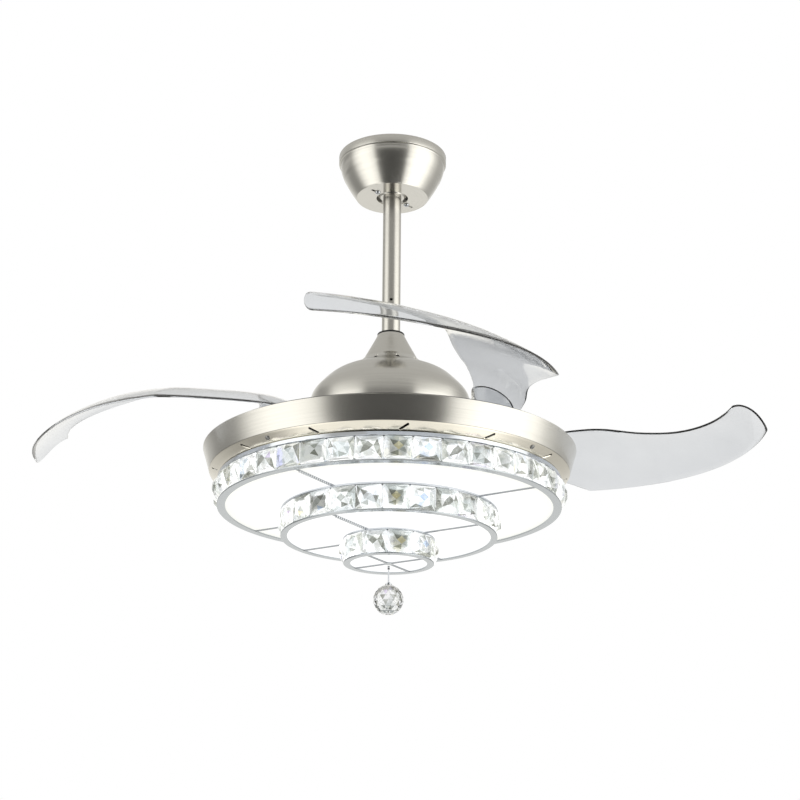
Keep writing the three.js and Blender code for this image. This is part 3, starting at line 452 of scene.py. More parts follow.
@dataclass
class Sketch:
    """Points and faces gathered in millimetres, on their way to being one object."""

    points: list[Point] = field(default_factory=list)
    faces: list[tuple[int, ...]] = field(default_factory=list)

    def add(self, points: Iterable[Point], faces: Iterable[Sequence[int]]) -> Sketch:
        """Add points and the faces between them, counted from the first added point."""
        start = len(self.points)
        self.points += [tuple(p) for p in points]
        self.faces += [tuple(start + i for i in face) for face in faces]
        return self

    def join(self, other: Sketch) -> Sketch:
        """Add another sketch's points and faces."""
        return self.add(other.points, other.faces)

    def turned(self, profile: Profile, sides: int = FINE, centre: Point = (0, 0, 0)) -> Sketch:
        """Add a closed ring or disc turned about Z.

        Args:
            profile: Radius and height of each corner, counterclockwise, closed on itself.
            sides: How many steps round.
            centre: Where its own axis stands.

        Returns:
            The sketch.
        """
        on_axis = [r <= 1e-9 for r, _ in profile]
        points: list[Point] = []
        index: list[list[int]] = []
        for (r, z), central in zip(profile, on_axis):
            ring = [polar(r, 360 * k / sides) for k in range(1 if central else sides)]
            index.append(list(range(len(points), len(points) + len(ring))) * (sides if central else 1))
            points += [(x + centre[0], y + centre[1], z + centre[2]) for x, y in ring]
        faces = []
        for i, low in enumerate(index):
            j = (i + 1) % len(index)
            if on_axis[i] and on_axis[j]:
                continue
            high = index[j]
            for k in range(sides):
                n = (k + 1) % sides
                corners = (low[k], low[n], high[n], high[k])
                faces.append(tuple(dict.fromkeys(corners)))
        return self.add(points, faces)

    def extruded(self, outline: Sequence[tuple[float, float]], low: float, high: float) -> Sketch:
        """Add a flat outline, counterclockwise from above, made solid between two heights."""
        count = len(outline)
        points = [(x, y, z) for z in (low, high) for x, y in outline]
        sides = [(i, (i + 1) % count, count + (i + 1) % count, count + i) for i in range(count)]
        ends = [tuple(reversed(range(count))), tuple(range(count, 2 * count))]
        return self.add(points, sides + ends)

    def block(self, size: Point, centre: Point) -> Sketch:
        """Add a box by its size and its centre."""
        (length, width, height), (x, y, z) = size, centre
        half = [(-1, -1), (1, -1), (1, 1), (-1, 1)]
        outline = [(x + a * length / 2, y + b * width / 2) for a, b in half]
        return self.extruded(outline, z - height / 2, z + height / 2)

    def loops(self, rows: Sequence[Sequence[Point]], ring: bool = False) -> Sketch:
        """Add a skin through closed loops of points.

        Args:
            rows: The loops, each with as many points.
            ring: The last loop joins the first, and otherwise each end gets a cap.

        Returns:
            The sketch.
        """
        count = len(rows[0])
        faces = []
        for i in range(len(rows) if ring else len(rows) - 1):
            low, high = i * count, (i + 1) % len(rows) * count
            for j in range(count):
                n = (j + 1) % count
                faces.append((low + j, low + n, high + n, high + j))
        if not ring:
            faces.append(tuple(reversed(range(count))))
            faces.append(tuple(range((len(rows) - 1) * count, len(rows) * count)))
        return self.add([p for row in rows for p in row], faces)

    def moved(self, matrix: Matrix) -> Sketch:
        """Return a copy of the sketch, moved by a matrix that is in millimetres."""
        return Sketch([tuple(matrix @ Vector(p)) for p in self.points], list(self.faces))

    def piece(self, name: str, look: Look, crease: float = 35.0, from_ceiling: bool = False) -> Object:
        """Make the sketch an object in the shared frame.

        Args:
            name: The object's name.
            look: Its finish.
            crease: Edges that turn more than this many degrees stay sharp, and 0 keeps all flat.
            from_ceiling: Its heights are measured from the ceiling, not from the drum's rim.

        Returns:
            The object.
        """
        drop = 0.0 if from_ceiling else RIM_DEPTH
        mesh = bpy.data.meshes.new(name)
        mesh.from_pydata([(x * MM, y * MM, (z - drop) * MM) for x, y, z in self.points], [], self.faces)
        mesh.validate()
        tidy = bmesh.new()
        tidy.from_mesh(mesh)
        bmesh.ops.recalc_face_normals(tidy, faces=tidy.faces)
        tidy.to_mesh(mesh)
        tidy.free()
        if crease:
            mesh.shade_smooth()
            mesh.set_sharp_from_angle(angle=math.radians(crease))
        mesh.materials.append(look.material)
        made = bpy.data.objects.new(name, mesh)
        bpy.context.scene.collection.objects.link(made)
        return made


def baked(piece: Object) -> Object:
    """Turn an object and its modifiers into a plain mesh."""
    graph = bpy.context.evaluated_depsgraph_get()
    mesh = bpy.data.meshes.new_from_object(piece.evaluated_get(graph))
    piece.modifiers.clear()
    old = piece.data
    piece.data = mesh
    mesh.name = piece.name
    bpy.data.meshes.remove(old)
    return piece


def merged(piece: Object, other: Object, operation: str, crease: float = 35.0) -> Object:
    """Cut or join an object with another one, which is used up.

    Args:
        piece: The object that stays.
        other: The object that cuts it or joins it.
        operation: DIFFERENCE or UNION.
        crease: Edges that turn more than this many degrees stay sharp.

    Returns:
        The object.
    """
    modifier = piece.modifiers.new(operation.lower(), "BOOLEAN")
    modifier.object = other
    modifier.operation = operation
    modifier.solver = "EXACT"
    modifier.use_self = operation == "DIFFERENCE"
    baked(piece)
    bpy.data.objects.remove(other)
    piece.data.shade_smooth()
    piece.data.set_sharp_from_angle(angle=math.radians(crease))
    return piece


def settle(piece: Object, body: str, look: Look, *nodes: str) -> Object:
    """Make a finished object ride on a body, and stand for CAD nodes.

    Args:
        piece: The finished object.
        body: The CAD body that it moves with.
        look: Not used.
        nodes: The CAD nodes that it replaces.

    Returns:
        The object.
    """
    if nodes:
        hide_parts(*nodes)
    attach(piece, body)
    LOG.info("%s: %d faces on %s", piece.name, len(piece.data.polygons), body)
    return piece


# ---------------------------------------------------------------------------
# Repeats made by Geometry Nodes
# ---------------------------------------------------------------------------


@dataclass(frozen=True)
class Repeater:
    """A Geometry Nodes tree that copies one object to many places and makes the copies real."""

    name: str
    numbers: Sequence[str]
    place: Callable[[Tree, dict], tuple[Socket, Socket]]

    def tree(self) -> Tree:
        """Build the tree, or return it if it is built."""
        known = bpy.data.node_groups.get(self.name)
        if known:
            return known
        tree = bpy.data.node_groups.new(self.name, "GeometryNodeTree")
        sockets = tree.interface
        sockets.new_socket("Geometry", in_out="INPUT", socket_type="NodeSocketGeometry")
        sockets.new_socket("Copied", in_out="INPUT", socket_type="NodeSocketObject")
        sockets.new_socket("Finish", in_out="INPUT", socket_type="NodeSocketMaterial")
        sockets.new_socket("Count", in_out="INPUT", socket_type="NodeSocketInt")
        for number in self.numbers:
            sockets.new_socket(number, in_out="INPUT", socket_type="NodeSocketFloat")
        sockets.new_socket("Geometry", in_out="OUTPUT", socket_type="NodeSocketGeometry")
        given = add_node(tree, "NodeGroupInput").outputs
        position, turn = self.place(tree, given)
        points = add_node(tree, "GeometryNodePoints", {"Count": given["Count"], "Position": position})
        copied = add_node(tree, "GeometryNodeObjectInfo", {"Object": given["Copied"]})
        copies = add_node(
            tree,
            "GeometryNodeInstanceOnPoints",
            {
                "Points": points.outputs[0],
                "Instance": copied.outputs["Geometry"],
                "Rotation": turn,
            },
        )
        real = add_node(tree, "GeometryNodeRealizeInstances", {0: copies.outputs[0]})
        finish = add_node(
            tree,
            "GeometryNodeSetMaterial",
            {"Geometry": real.outputs[0], "Material": given["Finish"]},
        )
        add_node(tree, "NodeGroupOutput", {0: finish.outputs[0]})
        return tree

    def make(self, name: str, pattern: Object, look: Look, count: int, **numbers: float) -> Object:
        """Copy an object to its places as one plain mesh. The object itself is used up.

        Args:
            name: The new object's name.
            pattern: The object to copy, modelled round the origin.
            look: The finish of the copies.
            count: How many there are.
            numbers: The tree's other inputs, by name with underscores for spaces.

        Returns:
            The new object.
        """
        tree = self.tree()
        made = bpy.data.objects.new(name, bpy.data.meshes.new(name))
        bpy.context.scene.collection.objects.link(made)
        modifier = made.modifiers.new("repeat", "NODES")
        modifier.node_group = tree
        given = {"Copied": pattern, "Finish": look.material, "Count": count}
        given |= {key.replace("_", " "): value for key, value in numbers.items()}
        for item in tree.interface.items_tree:
            if item.in_out == "INPUT" and item.name in given:
                modifier[item.identifier] = given[item.name]
        baked(made)
        bpy.data.objects.remove(pattern)
        return made


def place_in_ring(tree: Tree, given: dict) -> tuple[Socket, Socket]:
    """Place copies round Z, each turned to face outwards and set a little unevenly.

    Args:
        tree: The tree to add to.
        given: Its named inputs: Count, Radius, Height, First, Sweep and Unevenness.

    Returns:
        The position and the rotation of each copy.
    """
    index = add_node(tree, "GeometryNodeInputIndex")
    share = maths(tree, "DIVIDE", index.outputs[0], given["Count"])
    turn = maths(tree, "MULTIPLY_ADD", share, given["Sweep"], given["First"])
    x = maths(tree, "MULTIPLY", maths(tree, "COSINE", turn), given["Radius"])
    y = maths(tree, "MULTIPLY", maths(tree, "SINE", turn), given["Radius"])
    position = add_node(tree, "ShaderNodeCombineXYZ", {"X": x, "Y": y, "Z": given["Height"]})
    jitter = add_node(
        tree,
        "FunctionNodeRandomValue",
        {"Min": (-1, -1, -1), "Max": (1, 1, 1), "Seed": 7},
        data_type="FLOAT_VECTOR",
    )
    uneven = add_node(
        tree,
        "ShaderNodeVectorMath",
        {0: jitter.outputs[0], "Scale": given["Unevenness"]},
        operation="SCALE",
    )
    outwards = add_node(tree, "ShaderNodeCombineXYZ", {"Z": turn})
    angles = add_node(
        tree,
        "ShaderNodeVectorMath",
        {0: outwards.outputs[0], 1: uneven.outputs[0]},
        operation="ADD",
    )
    rotation = add_node(tree, "FunctionNodeEulerToRotation", {0: angles.outputs[0]})
    return position.outputs[0], rotation.outputs[0]


def place_in_row(tree: Tree, given: dict) -> tuple[Socket, Socket]:
    """Place copies along a level line that runs out from Z.

    Args:
        tree: The tree to add to.
        given: Its named inputs: Count, Start, Spacing, Height and Bearing.

    Returns:
        The position and the rotation of each copy.
    """
    index = add_node(tree, "GeometryNodeInputIndex")
    reach = maths(tree, "MULTIPLY_ADD", index.outputs[0], given["Spacing"], given["Start"])
    along = add_node(tree, "ShaderNodeCombineXYZ", {"X": reach, "Z": given["Height"]})
    turned = add_node(
        tree,
        "ShaderNodeVectorRotate",
        {"Vector": along.outputs[0], "Angle": given["Bearing"]},
        rotation_type="Z_AXIS",
    )
    angles = add_node(tree, "ShaderNodeCombineXYZ", {"Z": given["Bearing"]})
    rotation = add_node(tree, "FunctionNodeEulerToRotation", {0: angles.outputs[0]})
    return turned.outputs[0], rotation.outputs[0]


RING = Repeater("copies in a ring", ("Radius", "Height", "First", "Sweep", "Unevenness"), place_in_ring)
ROW = Repeater("copies in a row", ("Start", "Spacing", "Height", "Bearing"), place_in_row)


def ring_of(
    name: str,
    pattern: Object,
    look: Look,
    count: int,
    radius: float,
    height: float,
    first: float,
    uneven: float = 0.0,
    sweep: float = 360.0,
) -> Object:
    """Copy an object round the fan's axis.

    Args:
        name: The new object's name.
        pattern: The object to copy, modelled round the origin with +X outwards.
        look: Its finish.
        count: How many copies.
        radius: Their distance from the axis.
        height: Their height.
        first: The angle of the first one, in degrees from +X.
        uneven: How far each may be tilted, in degrees.
        sweep: The angle that the copies share out, in degrees.

    Returns:
        The new object.
    """
    return RING.make(
        name,
        pattern,
        look,
        count,
        Radius=radius * MM,
        Height=(height - RIM_DEPTH) * MM,
        First=math.radians(first),
        Sweep=math.radians(sweep),
        Unevenness=math.radians(uneven),
    )


def rounded_slot(length: float, width: float, depth: float, lean: float = 0.0, sides: int = 8) -> Sketch:
    """Return a slot's cutter round the origin, its ends round, its length leaned from Y towards X."""
    half = (length - width) / 2
    outline = []
    for k in range(2 * sides + 2):
        turn = 180 * (k if k <= sides else k - 1) / sides
        x, y = polar(width / 2, turn)
        outline.append((x, y + (half if k <= sides else -half)))
    sketch = Sketch().extruded(outline, -depth / 2, depth / 2)
    return sketch.moved(Matrix.Rotation(math.radians(-lean), 4, "Z"))


def pan_head(radius: float, height: float, recess: float) -> Sketch:
    """Return a domed screw head, its flat underside at the origin and its crown towards -Z."""
    turns = [math.radians(a) for a in (15, 30, 45, 60, 75, 90)]
    arc = [(radius * math.sin(t), -height * math.cos(t)) for t in turns]
    profile = [(0.0, -height), *arc, (radius, 0.0), (0.0, 0.0)]
    head = Sketch().turned(profile, SMALL)
    for size in ((recess, recess / 4), (recess / 4, recess)):
        head.block((size[0], size[1], 0.1), (0, 0, -height - 0.04))
    return head


# ---------------------------------------------------------------------------
# Ceiling side and downrod
# ---------------------------------------------------------------------------


@dataclass
class CeilingSet:
    """The canopy with its screws, and what hangs in it. Heights are from the ceiling."""

    rim: float = 76.0
    band: float = 12.0
    depth: float = 63.0
    floor_radius: float = 51.1
    hole: float = 22.3
    sheet: float = 1.2
    screw_circle: float = 28.5
    screw_angles: tuple[float, float] = (-135.0, 45.0)
    screw_hole: float = 2.3
    screw_head: Point = (4.0, 2.4, 4.6)  # radius, height, and the recess's length
    slot_length: float = 9.5
    slot_width: float = 3.8
    slot_offset: float = 7.5  # of the slot's middle beyond its screw
    ball_radius: float = 26.0
    ball_centre: float = -42.0
    ball_cut: float = 20.0
    rod: float = 12.7

    def bowl(self) -> list[tuple[float, float]]:
        """Return the canopy's outside from its rim down to its hole."""
        points = [(self.rim, 0.0), (self.rim + 0.2, -0.6)]
        points += [(self.rim, -self.band + 0.8), (self.rim - 0.8, -self.band)]
        points += [(self.rim - 2.0, -self.band - 0.4), (self.rim - 2.4, -self.band - 1.6)]
        steps = 24
        top, drop = self.rim - 2.4, self.depth - self.band - 3
        for k in range(steps):
            share = k / steps
            step = 0.5 if share > 0.4 else 0.0  # the faint line that the spinning leaves in the bowl
            radius = top - (top - self.floor_radius) * share**1.5 - step
            points.append((radius, -self.band - 3 - drop * share))
        points += [(self.floor_radius + 0.2, -self.depth + 1.0), (self.floor_radius - 0.8, -self.depth)]
        points += [(self.hole, -self.depth)]
        return points

    def canopy(self) -> Object:
        """Make the canopy, with a dark slot beside each screw."""
        outside = self.bowl()
        inside = []
        for i, (radius, height) in enumerate(outside):
            lift = self.sheet if i > len(outside) - 4 else 0.4
            inside.append((radius - self.sheet, height + lift))
        inside[0] = (self.rim - self.sheet, 0.0)
        inside[-1] = (self.hole, -self.depth + self.sheet)
        shell = Sketch().turned([*reversed(outside), *inside], FINE).piece("canopy", Look.NICKEL, 30, True)
        cutters = Sketch()
        for angle in self.screw_angles:
            x, y = polar(self.screw_circle, angle)
            hole = [(0, -4), (self.screw_hole, -4), (self.screw_hole, 4), (0, 4)]
            cutters.turned(hole, SMALL, (x, y, -self.depth))
            slot = rounded_slot(self.slot_length, self.slot_width, 8, 90).moved(
                Matrix.Translation((*polar(self.screw_circle + self.slot_offset, angle), -self.depth))
                @ Matrix.Rotation(math.radians(angle), 4, "Z")
            )
            cutters.join(slot)
        return merged(shell, cutters.piece("canopy cutter", Look.NICKEL, 0, True), "DIFFERENCE", 30)

    def screws(self) -> list[Object]:
        """Make the canopy's two screws."""
        made = []
        for number, angle in enumerate(self.screw_angles, 1):
            x, y = polar(self.screw_circle, angle)
            low = -self.depth - 0.3
            screw = pan_head(*self.screw_head).moved(Matrix.Translation((x, y, low)))
            screw.turned([(0, low - 1), (1.9, low - 1), (1.9, -50), (0, -50)], SMALL, (x, y, 0))
            made.append(screw.piece(f"canopy_screw_head_{number}", Look.CHROME, 40, True))
        return made

    def ball(self) -> Object:
        """Make the hanger ball with its bore."""
        limit = math.degrees(math.asin(self.ball_cut / self.ball_radius))
        arc = [
            (self.ball_radius * math.cos(math.radians(a)), self.ball_radius * math.sin(math.radians(a)))
            for a in [-limit + 2 * limit * k / 20 for k in range(21)]
        ]
        bore = self.rod + 0.3
        profile = [*arc, (bore, self.ball_cut), (bore, -self.ball_cut)]
        return Sketch().turned(profile, MEDIUM, (0, 0, self.ball_centre)).piece("ball", Look.NICKEL, 40, True)

    def build(self) -> None:
        """Build the set and settle it on its bodies."""
        settle(self.canopy(), "ceiling", Look.NICKEL, "canopy_shell")
        for number, screw in enumerate(self.screws(), 1):
            settle(screw, "ceiling", Look.CHROME, f"canopy_screw_{number}")
        settle(self.ball(), "hanging", Look.NICKEL, "hanger_ball")


@dataclass
class HangingTube:
    """The downrod and the rubber ring where it enters the dome."""

    radius: float = 12.7
    wall: float = 1.7
    top: float = 417.6
    bottom: float = 124.3
    hole_height: float = 219.7
    hole: float = 2.0
    lip: float = 18.8
    lip_height: float = 169.7

    def rod(self) -> Object:
        """Make the downrod with its small hole."""
        inner = self.radius - self.wall
        profile = [(inner, self.bottom), (self.radius, self.bottom)]
        profile += [(self.radius, self.top), (inner, self.top)]
        tube = Sketch().turned(profile, 96).piece("rod", Look.ROD_NICKEL)
        drill = Sketch().turned([(0, 0), (self.hole, 0), (self.hole, 12), (0, 12)], SMALL)
        place = Matrix.Translation((0, -self.radius - 6, self.hole_height))
        turned = drill.moved(place @ Matrix.Rotation(math.radians(-90), 4, "X"))
        return merged(tube, turned.piece("drill", Look.ROD_NICKEL, 0), "DIFFERENCE")

    def ring(self) -> Object:
        """Make the rubber ring, with a rounded top."""
        low, high = self.lip_height + 0.3, self.lip_height + 3
        inner = self.radius + 0.3
        profile = [(inner, low), (self.lip, low), (self.lip, high - 1.2), (self.lip - 0.5, high - 0.3)]
        profile += [(self.lip - 1.4, high), (inner, high)]
        return Sketch().turned(profile, 96).piece("rod_ring", Look.RUBBER)

    def build(self) -> None:
        """Build both and settle them."""
        settle(self.rod(), "hanging", Look.ROD_NICKEL, "downrod")
        settle(self.ring(), "hanging", Look.RUBBER, "gasket_ring")


# ---------------------------------------------------------------------------
# Dome and drum
# ---------------------------------------------------------------------------


@dataclass
class Dome:
    """The spun cover over the motor, with its flared neck and its ring of vents."""

    sheet: float = 1.2
    lip: float = 18.8
    rise: float = 169.7
    skirt: float = 112.5
    skirt_foot: float = 8.0
    vent_circle: float = 50.0
    vent_drop: float = 47.0  # of a vent's middle under the lip
    vents: int = 10
    first_vent: float = -78.4
    vent_length: float = 14.0
    vent_width: float = 4.2

    def outside(self) -> list[tuple[float, float]]:
        """Return the outside from the lip down to the skirt, by its bends."""
        lip, top = self.lip, self.rise
        neck = [(lip, top), (lip + 1.2, top - 3), (lip + 5.8, top - 12)]
        neck += [(lip + 14.8, top - 28.5), (lip + 18.8, top - 36)]
        cap = [(lip + 31, top - 47.5), (lip + 46.8, top - 54)]
        cap += [(lip + 62.8, top - 62.5), (lip + 77.8, top - 76.5)]
        side = [(lip + 87.8, top - 90), (self.skirt - 1.5, top - 110), (self.skirt, top - 126)]
        return [*rounded(neck, 4), *rounded(cap + side, 4), (self.skirt, self.skirt_foot)]

    def shell(self) -> Object:
        """Make the shell and cut its vents."""
        outside = self.outside()
        inside = offset(outside, self.sheet)
        shell = Sketch().turned([*reversed(outside), *inside], FINE).piece("dome", Look.NICKEL, 24)
        slot = rounded_slot(self.vent_length, self.vent_width, 24, 90).piece("vent", Look.NICKEL, 0, True)
        height = self.rise - self.vent_drop
        vents = ring_of("vents", slot, Look.NICKEL, self.vents, self.vent_circle, height, self.first_vent)
        return merged(shell, vents, "DIFFERENCE", 24)

    def build(self) -> None:
        """Build the dome and settle it."""
        settle(self.shell(), "hanging", Look.NICKEL, "dome_housing")


def rounded(points: Profile, steps: int) -> list[tuple[float, float]]:
    """Return a smooth curve through points, with that many steps between each two."""
    curve = []
    for i in range(len(points) - 1):
        before, start, end = points[max(i - 1, 0)], points[i], points[i + 1]
        after = points[min(i + 2, len(points) - 1)]
        for k in range(steps):
            t = k / steps
            weights = (
                (-t + 2 * t**2 - t**3) / 2,
                (2 - 5 * t**2 + 3 * t**3) / 2,
                (t + 4 * t**2 - 3 * t**3) / 2,
                (t**3 - t**2) / 2,
            )
            four = (before, start, end, after)
            curve.append(tuple(sum(w * p[axis] for w, p in zip(weights, four)) for axis in (0, 1)))
    curve.append(tuple(points[-1]))
    return curve


def offset(profile: Profile, distance: float) -> list[tuple[float, float]]:
    """Return a profile moved square to itself, to the right of the way it runs."""
    moved = []
    for i, (r, z) in enumerate(profile):
        (r0, z0), (r1, z1) = profile[max(i - 1, 0)], profile[min(i + 1, len(profile) - 1)]
        run = math.hypot(r1 - r0, z1 - z0)
        moved.append((r + distance * (z1 - z0) / run, z - distance * (r1 - r0) / run))
    return moved


@dataclass
class Drum:
    """The brushed band, and the polished pan that closes it underneath."""

    rim: float = 250.0
    foot: float = 241.0
    height: float = 31.2
    flange: float = 7.0
    sheet: float = 1.2
    floor_radius: float = 228.0
    floor_depth: float = 41.6
    pan_hole: float = 10.3
    slots: int = 13
    slot_lean: float = 33.0
    first_slot: float = -85.5
    slot_length: float = 14.0
    slot_width: float = 3.2
    screws: int = 4
    first_screw: float = -130.0
    screw_head: Point = (3.4, 2.0, 3.6)  # radius, height, and the recess's length
    screw_lean: float = 38.0  # square to the pan's slope

    def band(self) -> Object:
        """Make the band with a rolled rim and a small returned foot."""
        edge, turns = self.rim - self.sheet, (math.pi, 2.3, 1.57, 0.8)
        rolled = [(edge + 0.6 * math.cos(a), 0.6 * math.sin(a) - 0.6) for a in turns]
        side = (self.rim - self.foot) / self.height
        outer = [(self.rim - 0.02, -0.9), (self.rim - side * 10, -10), (self.rim - side * 21, -21)]
        foot = [(self.foot + 0.25, -self.height + 0.9), (self.foot - 0.2, -self.height)]
        back = [(self.foot - self.flange, -self.height), (self.foot - self.flange, -self.height + self.sheet)]
        inner = [(self.foot - self.sheet, -self.height + self.sheet)]
        profile = [*rolled, *outer, *foot, *back, *inner]
        return Sketch().turned(list(reversed(profile)), 224).piece("band", Look.NICKEL, 35)

    def pan(self) -> Object:
        """Make the pan, and cut its slanted slots, whose two halves mirror each other."""
        ledge = -self.height - 0.3
        edge = self.foot - 0.5
        bends = [(self.floor_radius - 8, -self.floor_depth), (self.floor_radius, -self.floor_depth + 0.4)]
        slope = rounded([*bends, (edge - 3, ledge - 2.6), (edge, ledge)], 5)
        outer = [(self.pan_hole, -self.floor_depth), *slope]
        inner = [(edge - self.flange + 1, ledge), (edge - self.flange + 1, ledge - self.sheet)]
        inner += [(edge - 2 * self.sheet, ledge - self.sheet)]
        inner += [(self.floor_radius - 0.6, -self.floor_depth + self.sheet)]
        inner += [(self.pan_hole, -self.floor_depth + self.sheet)]
        pan = Sketch().turned([*outer, *inner], 192).piece("pan", Look.PAN, 30)
        middle = (self.floor_radius + edge) / 2 - 1
        depth = -(self.floor_depth + self.height) / 2
        right = (self.slots + 1) // 2
        turn = 360 * right / self.slots
        halves = (
            (self.slot_lean, self.first_slot, right, turn),
            (-self.slot_lean, self.first_slot + turn, self.slots - right, 360 - turn),
        )
        for lean, first, count, sweep in halves:
            slot = rounded_slot(self.slot_length, self.slot_width, 14, lean).piece("slot", Look.PAN, 0, True)
            cutters = ring_of("slots", slot, Look.PAN, count, middle, depth, first, sweep=sweep)
            merged(pan, cutters, "DIFFERENCE", 30)
        return pan

    def pan_screws(self) -> Object:
        """Make the screws that hold the pan to the band."""
        slope = Matrix.Rotation(math.radians(-self.screw_lean), 4, "Y")
        leaned = pan_head(*self.screw_head).moved(slope)
        head = leaned.piece("head", Look.STEEL, 40, True)
        middle = (self.floor_radius + self.foot) / 2 + 0.6
        depth = -(self.floor_depth + self.height) / 2 + 0.3
        return ring_of("pan_screws", head, Look.STEEL, self.screws, middle, depth, self.first_screw)

    def build(self) -> None:
        """Build the drum's pieces and settle them."""
        settle(self.band(), "hanging", Look.NICKEL, "drum_band")
        settle(self.pan(), "hanging", Look.PAN, "drum_pan")
        settle(self.pan_screws(), "hanging", Look.STEEL)


# ---------------------------------------------------------------------------
# Spinning carrier and blades
# ---------------------------------------------------------------------------


@dataclass
class Carrier:
    """The black cover that the blades stand on, and each blade's hub."""

    pivot: float = 192.0
    first_blade: float = 42.8
    blades: int = 4
    radius: float = 246.0
    hole: float = 84.0
    top: float = 2.0
    thickness: float = 4.0
    hub: float = 24.0
    hub_top: float = 5.0
    stub: float = 6.0
    gear_low: float = -7.0
    gear_high: float = -3.0
    module: float = 6.0
    teeth: int = 12
    floor: float = -17.0

    def angle(self, number: int) -> float:
        """Return the angle of a blade's pivot, in degrees."""
        return self.first_blade + 360 * number / self.blades

    def at_pivot(self, number: int) -> Matrix:
        """Return the matrix that puts a blade's own frame at its pivot."""
        x, y = polar(self.pivot, self.angle(number))
        return Matrix.Translation((x, y, 0)) @ Matrix.Rotation(math.radians(self.angle(number)), 4, "Z")

    def cover(self) -> Object:
        """Make the cover disc with a rounded rim and its four round openings."""
        low = self.top - self.thickness
        profile = [(self.hole, low), (self.radius - 0.8, low), (self.radius, low + 0.8)]
        profile += [(self.radius, self.top - 1.0), (self.radius - 0.3, self.top - 0.3)]
        profile += [(self.radius - 1.0, self.top), (self.hole + 0.8, self.top), (self.hole, self.top - 0.8)]
        disc = Sketch().turned(profile, 224).piece("cover", Look.PAINT, 35)
        cutters = Sketch()
        for number in range(self.blades):
            x, y = polar(self.pivot, self.angle(number))
            cutters.turned([(0, -9), (self.hub + 0.8, -9), (self.hub + 0.8, 9), (0, 9)], MEDIUM, (x, y, 0))
        return merged(disc, cutters.piece("cover cutter", Look.PAINT, 0), "DIFFERENCE")

    def gear_outline(self) -> list[tuple[float, float]]:
        """Return the outline of a hub's gear, a tooth space towards the fan's axis."""
        pitch, step = self.module * self.teeth / 2, 360 / self.teeth
        low, high = pitch - self.module * 0.72, pitch + self.module * 0.52
        half = step / 4 - math.degrees(0.11 * self.module / pitch)
        outline = []
        for k in range(self.teeth):
            middle = 180 + step / 2 + k * step
            for radius, turn in ((low, -1.5), (high, -0.5), (high, 0.5), (low, 1.5)):
                limit = max(min(turn * half, step / 2 - 0.5), -step / 2 + 0.5)
                outline.append(polar(radius, middle + limit))
        return outline

    def hub_piece(self, number: int) -> Object:
        """Make one hub with its gear and stub shaft."""
        hub = Sketch().extruded(self.gear_outline(), self.gear_low, self.gear_high)
        flange = [(0, self.gear_high), (self.hub, self.gear_high), (self.hub, self.hub_top - 0.8)]
        flange += [(self.hub - 0.8, self.hub_top), (0, self.hub_top)]
        shaft = [(0, self.floor), (self.stub, self.floor), (self.stub, self.gear_low), (0, self.gear_low)]
        hub.turned(flange, MEDIUM)
        hub.turned(shaft, SMALL)
        return hub.moved(self.at_pivot(number)).piece(f"hub_{number + 1}", Look.PLASTIC)

    def build(self) -> None:
        """Build the cover and the hubs and settle them."""
        settle(self.cover(), "rotor", Look.PAINT, "carrier_cover")
        for number in range(self.blades):
            settle(self.hub_piece(number), f"blade_arm_{number + 1}", Look.PLASTIC, f"blade_hub_{number + 1}")


def smooth(rows: Sequence[Row], angle: float, column: int) -> float:
    """Return a smooth value at an angle, through rows that start with their angle."""
    later = [i for i, row in enumerate(rows) if row[0] > angle]
    i = max(later[0] - 1, 0) if later else len(rows) - 2

    def slope(k: int) -> float:
        before, after = rows[max(k - 1, 0)], rows[min(k + 1, len(rows) - 1)]
        return (after[column] - before[column]) / (after[0] - before[0])

    span = rows[i + 1][0] - rows[i][0]
    t = (angle - rows[i][0]) / span
    a, b = rows[i][column], rows[i + 1][column]
    da, db = slope(i) * span, slope(i + 1) * span
    return a + t * (da + t * (3 * (b - a) - 2 * da - db + t * (2 * (a - b) + da + db)))


